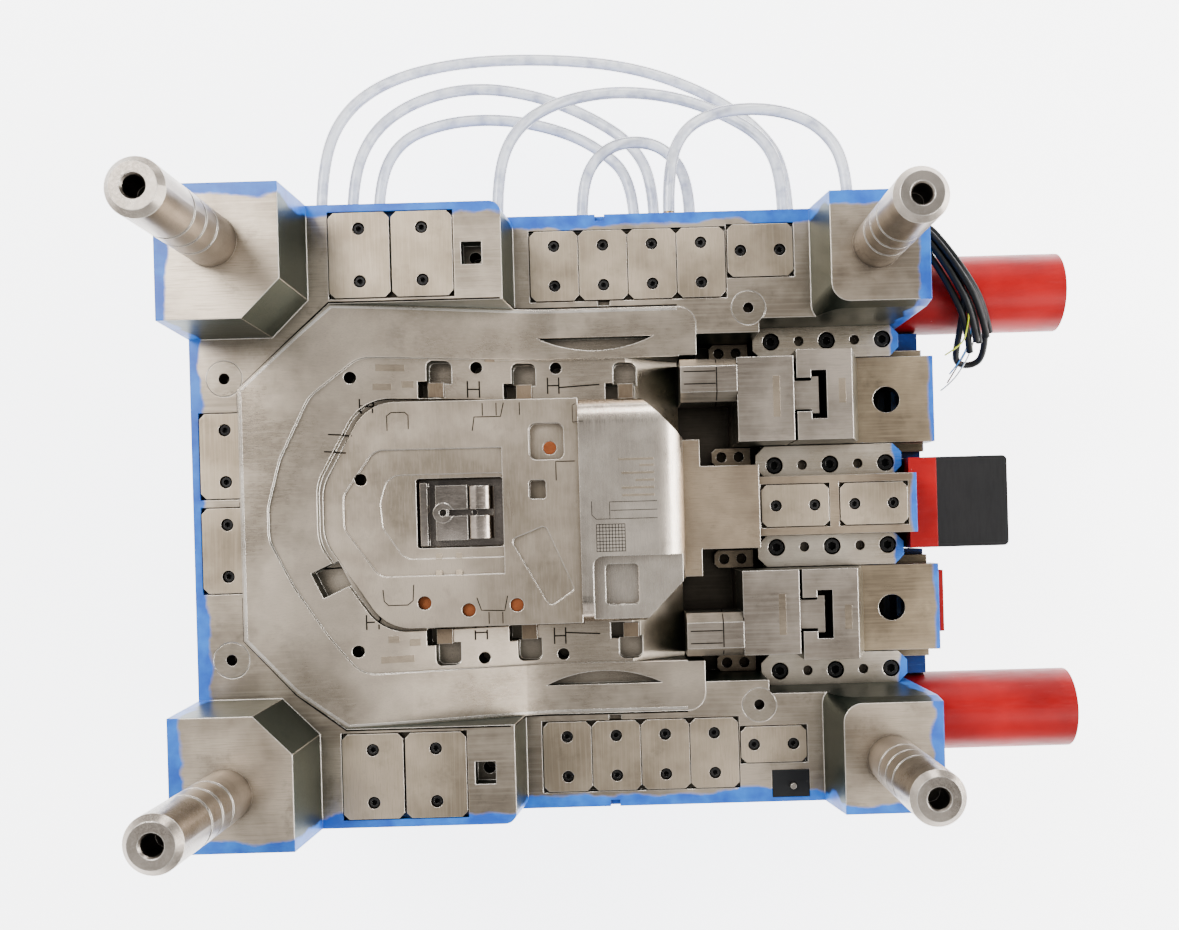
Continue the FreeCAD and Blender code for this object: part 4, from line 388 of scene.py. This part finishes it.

# The core insert's own outline: its joint with the core plate, and inside it a pale
# strip along the bevel, a painted highlight, that makes the joint show.
INSERT_HALF = 1000 * half_reach("core_insert", 1)
joint, bevel = INSERT_HALF + 1.2, INSERT_HALF - 2.5
joint_outline = [(112, joint), (-215, joint), (-246, 171.5), (-302, 120.5), (-302, -113.5),
                 (-254, -165.5), (-209, -joint), (112, -joint)]
bevel_outline = [(112, bevel), (-213.5, bevel), (-243.5, 169), (-298.5, 118.5), (-298.5, -112),
                 (-251.5, -162.5), (-207.5, -bevel), (112, -bevel)]
laid_strips("insert_outline_joint", [joint_outline], oil_line, "mould_base", "core_plate",
            "core_insert", width=1.6, rise=0.12)
# painted highlight: a pale strip along the top edge of the insert
bevel_highlight = mould_steel("bevel_highlight_steel", "f1e9de", "cbbfb0", "8a7f72", "X", 3, 30,
                           gloss=0.2, edge=0.4)
laid_strips("insert_bevel_highlight", [bevel_outline], bevel_highlight, "mould_base", "core_insert",
            width=2.4, rise=0.15)

centre_joints = [
    [(-167, 80), (-167, 94), (-163, 97), (-150, 97), (-147, 94), (-147, 81)],
    [(-87, 78), (-85, 91), (-60, 91), (-57, 104)], [(-77, 104), (-77, 92)],
    [(-64, 104), (-64, 92)], [(-42, 104), (-42, 92)], [(9, 47), (-9, 47), (-9, 29)],
    [(-175, -70), (-174, -81), (-170, -85), (-152, -85), (-147, -81), (-146, -66)],
    [(-87, -80), (-83, -92), (-61, -93), (-58, -79)], [(-76, -94), (-76, -105)],
    [(-63, -94), (-63, -105)],
]
laid_strips("centre_parting_lines", centre_joints, oil_line, "mould_base", "centre_insert",
            width=0.9, rise=0.12)

# The tail block carries a fine grid of cut lines beside its small joints.
GRID_LEFT, GRID_RIGHT, GRID_TOP, GRID_FOOT = 28, 55, -14, -40
GRID_COLUMNS, GRID_ROWS, COLUMN_PITCH, ROW_PITCH = 10, 9, 3, 3.2
tail_lines = [
    [(86, 7), (41, 7), (41, -9), (86, -9)], [(42, -1), (86, -1)],
    [(24, 8), (24, -5), (28, -9), (41, -9)], [(18, 84), (8, 84), (8, 100), (14, 103)],
]
for k in range(GRID_COLUMNS):
    x = GRID_LEFT + COLUMN_PITCH * k
    tail_lines.append([(x, GRID_TOP), (x, GRID_FOOT)])
for k in range(GRID_ROWS):
    y = GRID_TOP - ROW_PITCH * k
    tail_lines.append([(GRID_LEFT, y), (GRID_RIGHT, y)])
laid_strips("tail_fine_lines", tail_lines, oil_line, "mould_base", "tail_insert",
            "centre_insert", width=0.6, rise=0.1)

small_inserts = mould_steel("small_ground_inserts", "9f907d", "75695a", "3a332b", "X", 1.5, 10,
                            gloss=0.36, edge=0.3, edge_highlight="cdbfad")
ring_pads = [[(-176, 139.5), (-150, 139.5)], [(-179, 121.5), (-162, 121.5)],
             [(-153, 124), (-142, 124)], [(-76, 150), (-67, 150)], [(-178, -136), (-148, -136)],
             [(-171, -117), (-161, -117)], [(-152, -121), (-142, -121)]]
laid_strips("ring_small_inserts", ring_pads, small_inserts, "mould_base", "core_insert",
            width=6.5, rise=0.12)
SQUARE = 6
squares = [[(x, y), (x + SQUARE, y)] for x in (-125, -106) for y in (-40, -56)]
laid_strips("centre_small_inserts", squares, small_inserts, "mould_base", "centre_insert",
            width=SQUARE, rise=0.12)
STRIP_END = 84
bare_strips = [[(x, y), (STRIP_END, y)] for x, y in ((53, 13), (53, 20), (53, 34), (66, 27),
                                                     (70, 41), (50, 47))]
laid_strips("tail_blank_strips", bare_strips, small_inserts, "mould_base", "tail_insert",
            width=2.2, rise=0.06)

for word, side in (("upper", 1), ("lower", -1)):
    head, wedge = word + "_slide_head", word + "_slide_wedge_block"
    nose = [[(116, 132 * side), (147, 132 * side)], [(116, 120 * side), (147, 120 * side)],
            [(148, 100 * side), (148, 144 * side)], [(168, 104 * side), (168, 144 * side)]]
    labels = [[(206, 86 * side), (206, 126 * side)], [(270, 98 * side), (270, 122 * side)]]
    laid_strips(word + "_slide_lines", nose, oil_line, word + "_slide", head, width=1.1,
                rise=0.12)
    laid_strips(word + "_slide_label", labels, small_inserts, word + "_slide", head, wedge,
                width=7, rise=0.12)


# ---- Socket screws ----
# Cap screws with a hexagon socket, black oxide, with a painted highlight on the rim. Each
# stands where the frame has its plain screw and is as large.

def islands(node):
    """Boxes round the separate screws of a node."""
    mesh = bmesh.new()
    mesh.from_mesh(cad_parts[node].data)
    bmesh.ops.remove_doubles(mesh, verts=mesh.verts, dist=1e-6)
    seen, boxes = set(), []
    for start in mesh.verts:
        if start in seen:
            continue
        seen.add(start)
        stack, found = [start], []
        while stack:
            vertex = stack.pop()
            found.append(vertex.co.copy())
            for edge in vertex.link_edges:
                other = edge.other_vert(vertex)
                if other not in seen:
                    seen.add(other)
                    stack.append(other)
        boxes.append([(min(p[a] for p in found), max(p[a] for p in found)) for a in range(3)])
    mesh.free()
    return boxes


def socket_screws(name, node, material, body):
    """Turned heads with a chamfered rim and a hexagon socket for every screw of a node.

    The chamfer, the socket's half width and its depth are shares of the head's radius. A
    ring of share None follows the hexagon.
    """
    sides, chamfer, socket, deep = 24, 0.12, 0.5, 0.8
    mesh = bmesh.new()
    for (x0, x1), (y0, y1), (z0, z1) in islands(node):
        x, y, radius = (x0 + x1) / 2, (y0 + y1) / 2, (x1 - x0) / 2
        rings = [(1.0, z0), (1.0, z1 - radius * chamfer), (1.0 - chamfer, z1), (None, z1),
                 (None, z1 - radius * deep)]
        loops = []
        for share, z in rings:
            loop = []
            for k in range(sides):
                angle = 2 * math.pi * k / sides
                from_flat = (angle + math.pi / 6) % (math.pi / 3) - math.pi / 6
                reach = radius * (share or socket / math.cos(from_flat))
                loop.append(mesh.verts.new((x + reach * math.cos(angle),
                                            y + reach * math.sin(angle), z)))
            loops.append(loop)
        for low, high in zip(loops, loops[1:]):
            for k in range(sides):
                j = (k + 1) % sides
                mesh.faces.new((low[k], low[j], high[j], high[k]))
        mesh.faces.new(loops[-1])
        mesh.faces.new(loops[0][::-1])
    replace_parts(new_piece(name, mesh, material, body), node)


screw_black = mould_steel("black_oxide_screws", "3b3a39", "232222", "0e0e0e", "X", 1.5, 3,
                          gloss=0.32, depth=0.02, edge=0.4, edge_highlight="6d6a66")
for node, body in (("plate_screws", "mould_base"), ("slide_plate_screws", "centre_core_pull"),
                   ("gib_screws", "mould_base"), ("clamp_screws", "mould_base")):
    socket_screws(node + "_heads", node, screw_black, body)
finish_nodes(screw_black, "stop_buttons")


# ---- Red legs, slide stops and cylinder ----
# Round steel feet and flame-cut plates under gloss enamel, rolled on: slow change
# of tone, a fine orange peel, scuffs and chips down to primer. The cylinder and the
# stroke counter are black and duller.

def gloss_enamel(name, tone, shade, worn, chip, gloss=0.3, scratch=0.4, along="X"):
    """Rolled enamel: gloss is the lowest roughness, scratch how much the scuffs show.

    Clouds, scuffs, the spacing of chips, orange peel and the reach of the painted shade in corners
    in mm.
    """
    cloud, chip_pitch, peel, shade_reach = 83.33, 7.692, 3.846, 80
    scuff_long, scuff_wide = 25, 3.333
    material, tree, shader, place = new_finish(name)
    clouds = add(tree, "ShaderNodeTexNoise", Vector=place, Scale=1000 / cloud, Detail=4.0)
    scale = [1000 / (scuff_long if axis == along else scuff_wide) for axis in "XYZ"]
    scuffs = add(tree, "ShaderNodeTexNoise", Scale=1.0, Detail=6.0, Roughness=0.7,
                 Vector=add(tree, "ShaderNodeMapping", Vector=place, Scale=scale))
    chips = add(tree, "ShaderNodeTexNoise", Vector=place, Scale=1000 / chip_pitch, Detail=5.0,
                Roughness=0.7)
    colour = add(tree, "ShaderNodeMix", {"data_type": "RGBA"}, out=2, _6=linear(shade),
                 _7=linear(tone), _0=add(tree, "ShaderNodeMapRange", Value=clouds,
                                         From_Min=0.35, From_Max=0.65))
    colour = add(tree, "ShaderNodeMix", {"data_type": "RGBA"}, out=2, _6=colour, _7=linear(worn),
                 _0=add(tree, "ShaderNodeMapRange", Value=scuffs, From_Min=0.62, From_Max=0.78,
                        To_Max=scratch))
    colour = add(tree, "ShaderNodeMix", {"data_type": "RGBA"}, out=2, _6=colour, _7=linear(chip),
                 _0=add(tree, "ShaderNodeMapRange", Value=chips, From_Min=0.73, From_Max=0.76))
    # painted shade: near black in corners and hollows, by ambient occlusion
    hollow_shade = add(tree, "ShaderNodeAmbientOcclusion", {"samples": 4}, out=1,
                 Distance=shade_reach / 1000)
    colour = add(tree, "ShaderNodeMix", {"data_type": "RGBA"}, out=2, _6=colour,
                 _7=linear("060606"), _0=add(tree, "ShaderNodeMapRange", Value=hollow_shade,
                                             From_Min=0.1, From_Max=0.6, To_Min=1.0, To_Max=0.0))
    tree.links.new(colour, shader.inputs["Base Color"])
    shader.inputs["Specular IOR Level"].default_value = 0.2
    tree.links.new(add(tree, "ShaderNodeMapRange", Value=scuffs, From_Min=0.4, From_Max=0.8,
                       To_Min=gloss, To_Max=gloss + 0.3), shader.inputs["Roughness"])
    orange_peel = add(tree, "ShaderNodeTexNoise", Vector=place, Scale=1000 / peel, Detail=2.0)
    tree.links.new(add(tree, "ShaderNodeBump", Strength=0.25, Distance=0.0002,
                       Height=orange_peel,
                       Normal=add(tree, "ShaderNodeBevel", {"samples": 4}, Radius=0.001)),
                   shader.inputs["Normal"])
    return material


finish_nodes(gloss_enamel("red_enamel", "9e0006", "760004", "ac3430", "dccfca"),
             "support_legs", "slide_stop_plate", "cylinder_bracket")
finish_nodes(gloss_enamel("blue_enamel", "0c3f9c", "08285f", "3a6fb8", "8d96a3"), "slide_rests")
finish_nodes(gloss_enamel("cylinder_coat", "151313", "0f0e0e", "2c2927", "4a4643", 0.55, 0.2,
                          "Y"), "cylinder_body")
finish_nodes(gloss_enamel("counter_coat", "1a1a1b", "0f0f10", "39393a", "6a6a6a", 0.4, 0.2),
             "counter_body")


# ---- Brass nipples and clear hoses ----
# Push-on nipples of brass; the hoses are soft clear PVC, 12 mm outside, painted
# smoky dark along their edges and pale along the middle as a painted line of light. Each
# goes from one nipple to another.
finish_nodes(mould_steel("nipple_brass", "c9a25e", "a17c3c", "6e5426", "Y", 1.5, 5, gloss=0.25,
                         depth=0.03, edge=0.4, edge_highlight="e6cf9c"), "hose_nipples")


def clear_pvc():
    """PVC: IOR 1.53, watery marks 15 mm long inside the wall, with painted shade at the edges."""
    water_mark = 15.38
    material, tree, shader, place = new_finish("clear_pvc")
    film = add(tree, "ShaderNodeTexNoise", Vector=place, Scale=1000 / water_mark, Detail=4.0)
    # painted shade and highlight: pale where the hose faces the view, smoky dark towards its edges
    edge = add(tree, "ShaderNodeLayerWeight", out=1, Blend=0.55)
    tone = add(tree, "ShaderNodeMix", {"data_type": "RGBA"}, out=2, _6=linear("e8e9ea"),
               _7=linear("5d5a66"), _0=add(tree, "ShaderNodeMapRange", Value=edge, From_Min=0.15,
                                           From_Max=0.75))
    tone = add(tree, "ShaderNodeMix", {"data_type": "RGBA"}, out=2, _6=tone, _7=linear("8286a0"),
               _0=add(tree, "ShaderNodeMapRange", Value=film, From_Min=0.45, From_Max=0.7,
                      To_Max=0.7))
    tree.links.new(tone, shader.inputs["Base Color"])
    tree.links.new(add(tree, "ShaderNodeMapRange", Value=film, From_Min=0.3, From_Max=0.7,
                       To_Min=0.05, To_Max=0.18), shader.inputs["Roughness"])
    tree.links.new(add(tree, "ShaderNodeBump", Strength=0.2, Distance=0.0005, Height=film),
                   shader.inputs["Normal"])
    shader.inputs["Transmission Weight"].default_value = 0.35
    shader.inputs["IOR"].default_value = 1.53
    return material


def lay_cord(name, route, radius, material):
    """A round cord on the mould base: one smooth spline led through given points."""
    curve = bpy.data.curves.new(name, "CURVE")
    curve.dimensions = "3D"
    curve.bevel_depth = radius
    curve.bevel_resolution = 5
    curve.resolution_u = 10
    curve.use_fill_caps = True
    spline = curve.splines.new("NURBS")
    spline.points.add(len(route) - 1)
    for point, place in zip(spline.points, route):
        point.co = (*place, 1.0)
    spline.order_u = 3
    spline.use_endpoint_u = True
    curve.materials.append(material)
    thing = bpy.data.objects.new(name, curve)
    bpy.context.scene.collection.objects.link(thing)
    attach(thing, "mould_base")
    return thing


def cord_length(thing):
    """Length of a cord along its middle, in metres."""
    copy = thing.copy()
    copy.data = thing.data.copy()
    copy.data.bevel_depth = 0
    mesh = bpy.data.meshes.new_from_object(copy)
    total = sum((mesh.vertices[a].co - mesh.vertices[b].co).length
                for a, b in (edge.vertices for edge in mesh.edges))
    bpy.data.meshes.remove(mesh)
    bpy.data.objects.remove(copy)
    return total


HOSE_RADIUS = 0.006
HOSE_ROUTES = {
    "hose_a": [(-.259, .302, .205), (-.259, .360, .205), (-.243, .430, .193), (-.195, .477, .176),
               (-.115, .502, .160), (-.015, .506, .152), (.080, .493, .156), (.160, .457, .168),
               (.214, .410, .186), (.239, .358, .205), (.239, .302, .205)],
    "hose_b": [(-.226, .302, .205), (-.226, .356, .205), (-.206, .415, .195), (-.160, .453, .182),
               (-.095, .470, .172), (-.025, .458, .171), (.032, .430, .180), (.076, .395, .193),
               (.096, .350, .205), (.096, .302, .205)],
    "hose_c": [(-.198, .302, .205), (-.198, .354, .205), (-.176, .405, .195), (-.128, .427, .184),
               (-.070, .432, .178), (-.012, .420, .180), (.036, .395, .191), (.075, .354, .205),
               (.075, .302, .205)],
    "hose_d": [(-.068, .302, .235), (-.068, .354, .235), (-.048, .405, .227), (-.005, .435, .216),
               (.055, .448, .208), (.118, .441, .208), (.172, .418, .216), (.214, .386, .228),
               (.229, .342, .235), (.229, .302, .235)],
    "hose_e": [(.020, .302, .235), (.020, .342, .235), (.042, .378, .230), (.076, .389, .227),
               (.110, .378, .230), (.132, .342, .235), (.132, .302, .235)],
    "hose_f": [(.109, .302, .265), (.109, .348, .265), (.128, .392, .257), (.172, .411, .250),
               (.226, .409, .250), (.268, .388, .257), (.291, .346, .265), (.291, .302, .265)],
}
pvc = clear_pvc()
for name, route in HOSE_ROUTES.items():
    hose = lay_cord("clear_" + name, route, HOSE_RADIUS, pvc)
    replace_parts(hose, name)
    cord_length(hose)


# ---- Sensor cables ----
# Six black PVC cables that come out of the base and hang over the upper leg in a loose
# bundle. The last one turns back in a loop and is stripped: four thin wires stand out
# of it and curl.
jacket = gloss_enamel("black_pvc_jacket", "151515", "0b0b0b", "303030", "303030", 0.35, 0.3)
CABLE_RADIUS = 0.0035
CABLE = [(.346, .280, .256), (.366, .280, .256), (.384, .256, .258), (.402, .226, .260),
         (.421, .194, .252), (.431, .166, .232)]
LOOP = [(.346, .286, .252), (.366, .285, .254), (.388, .262, .258), (.410, .230, .262),
        (.430, .198, .252), (.438, .174, .232), (.440, .152, .210), (.4315, .146, .204),
        (.4195, .146, .204), (.411, .152, .210), (.409, .172, .234), (.408, .192, .254),
        (.409, .210, .259)]
# How far each of the first five lies from CABLE, times a spread that starts at its root
# and grows at each point. LEAN sets their roots beside each other in the same way.
LAYS = [(0, 0, 0), (.007, .003, .001), (-.007, -.003, .001), (.003, .001, .007),
        (-.004, .002, .007)]
SPREAD_AT_ROOT, SPREAD_PER_POINT, LEAN = 0.4, 0.22, 0.8
routes = []
for dx, dy, dz in LAYS:
    route = []
    for step, (x, y, z) in enumerate(CABLE):
        spread = SPREAD_AT_ROOT + SPREAD_PER_POINT * step
        route.append((x if step == 0 else x + dx * spread, y + dy * spread + dx * LEAN,
                      z + dz * spread))
    routes.append(route)
for number, route in enumerate(routes + [LOOP], 1):
    strand = lay_cord("cable_strand_%d" % number, route, CABLE_RADIUS, jacket)
    if number == 1:
        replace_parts(strand, "cable_hank")
    cord_length(strand)

WIRE_RADIUS = 0.0008
WIRES = {
    "white_wire": ("d9d8d2", [(.410, .210, .259), (.416, .196, .262), (.423, .176, .250),
                              (.424, .158, .226), (.420, .143, .206), (.409, .128, .202),
                              (.398, .120, .200)]),
    "blue_wire": ("4a90c8", [(.410, .210, .259), (.414, .196, .263), (.418, .178, .252),
                             (.419, .161, .230), (.415, .147, .208), (.407, .137, .203)]),
    "yellow_wire": ("b9c21f", [(.410, .210, .259), (.413, .192, .262), (.413, .176, .250),
                               (.408, .164, .256), (.398, .156, .259), (.388, .150, .256)]),
    "brown_wire": ("6d3a22", [(.410, .210, .259), (.415, .196, .260), (.421, .178, .248),
                              (.421, .160, .224), (.415, .144, .203), (.405, .128, .201)]),
}
for name, (colour, route) in WIRES.items():
    skin = gloss_enamel(name + "_pvc", colour, colour, "ffffff", colour, 0.3, 0.1)
    wire = lay_cord(name, route, WIRE_RADIUS, skin)
    cord_length(wire)


# ---- Floor, light and camera ----
# Pale floor, one large soft light over each side and a soft sky that is darker
# overhead; the camera looks straight down, a little right of the middle.
FLOOR_HALF, FLOOR_LEVEL = 6, -0.0005
floor_data = bpy.data.meshes.new("floor")
floor_data.from_pydata([(x * FLOOR_HALF, y * FLOOR_HALF, 0)
                        for x, y in ((-1, -1), (1, -1), (1, 1), (-1, 1))], [], [(0, 1, 2, 3)])
floor = bpy.data.objects.new("floor", floor_data)
floor.location.z = FLOOR_LEVEL
bpy.context.scene.collection.objects.link(floor)
floor_white, tree, shader, place = new_finish("floor_white")
tree.links.new(add(tree, "ShaderNodeMix", {"data_type": "RGBA"}, out=2, _6=linear("fbfbfb"),
                   _7=linear("f4f4f4"), _0=add(tree, "ShaderNodeTexNoise", Vector=place,
                                               Scale=1.5)), shader.inputs["Base Color"])
shader.inputs["Roughness"].default_value = 0.9
shader.inputs["Emission Color"].default_value = linear("ffffff")
shader.inputs["Emission Strength"].default_value = 4.0
floor_data.materials.append(floor_white)

world = bpy.data.worlds.new("studio")
bpy.context.scene.world = world
world.use_nodes = True
tree = world.node_tree
way = add(tree, "ShaderNodeTexCoord", out=0)
sides = add(tree, "ShaderNodeSeparateXYZ", Vector=way).node
# soft dark patches high in the sky for the polished steel to mirror, brighter from the left
patches = add(tree, "ShaderNodeMapRange", From_Min=0.40, From_Max=0.58, To_Min=1.0, To_Max=0.0,
              Value=add(tree, "ShaderNodeTexNoise", Vector=way, Scale=3.0, Detail=1.0))
overhead = add(tree, "ShaderNodeMapRange", Value=sides.outputs[2], From_Min=0.72, From_Max=0.86)
dark = add(tree, "ShaderNodeMath", {"operation": "MULTIPLY"}, _0=patches, _1=overhead)
tree.links.new(add(tree, "ShaderNodeMix", {"data_type": "RGBA"}, out=2, _0=dark,
                   _6=linear("f4f5f6"), _7=linear("5d6368")),
               tree.nodes["Background"].inputs["Color"])
tree.links.new(add(tree, "ShaderNodeMapRange", Value=sides.outputs[0], From_Min=-0.4,
                   From_Max=0.35, To_Min=1.65, To_Max=1.0),
               tree.nodes["Background"].inputs["Strength"])
# name, place, aimed at, width in metres, watts
for name, place, aim, width, power in (
        ("key", (-1.5, 1.2, 2.4), (0, 0, 0.2), 1.2, 75),
        ("fill", (1.9, -0.9, 2.0), (0.1, 0, 0.2), 1.2, 45),
        ("side", (2.1, 0.2, 0.9), (0.1, 0, 0.3), 1.3, 60),
        ("rim", (0.4, 2.3, 1.4), (0, 0.1, 0.3), 1.0, 35)):
    data = bpy.data.lights.new(name, "AREA")
    data.energy = power
    data.size = width
    lamp = bpy.data.objects.new(name, data)
    lamp.location = place
    lamp.rotation_euler = (Vector(aim) - Vector(place)).to_track_quat("-Z", "Y").to_euler()
    bpy.context.scene.collection.objects.link(lamp)

lens = bpy.data.cameras.new("camera")
lens.sensor_width = 36
lens.lens = 36.64
lens.shift_x, lens.shift_y = -0.025, 0.056
camera = bpy.data.objects.new("camera", lens)
camera.location = (0.0492, -0.0207, 1.486)
camera.rotation_euler = (0, 0, math.radians(-1.6))
bpy.context.scene.collection.objects.link(camera)
bpy.context.scene.camera = camera
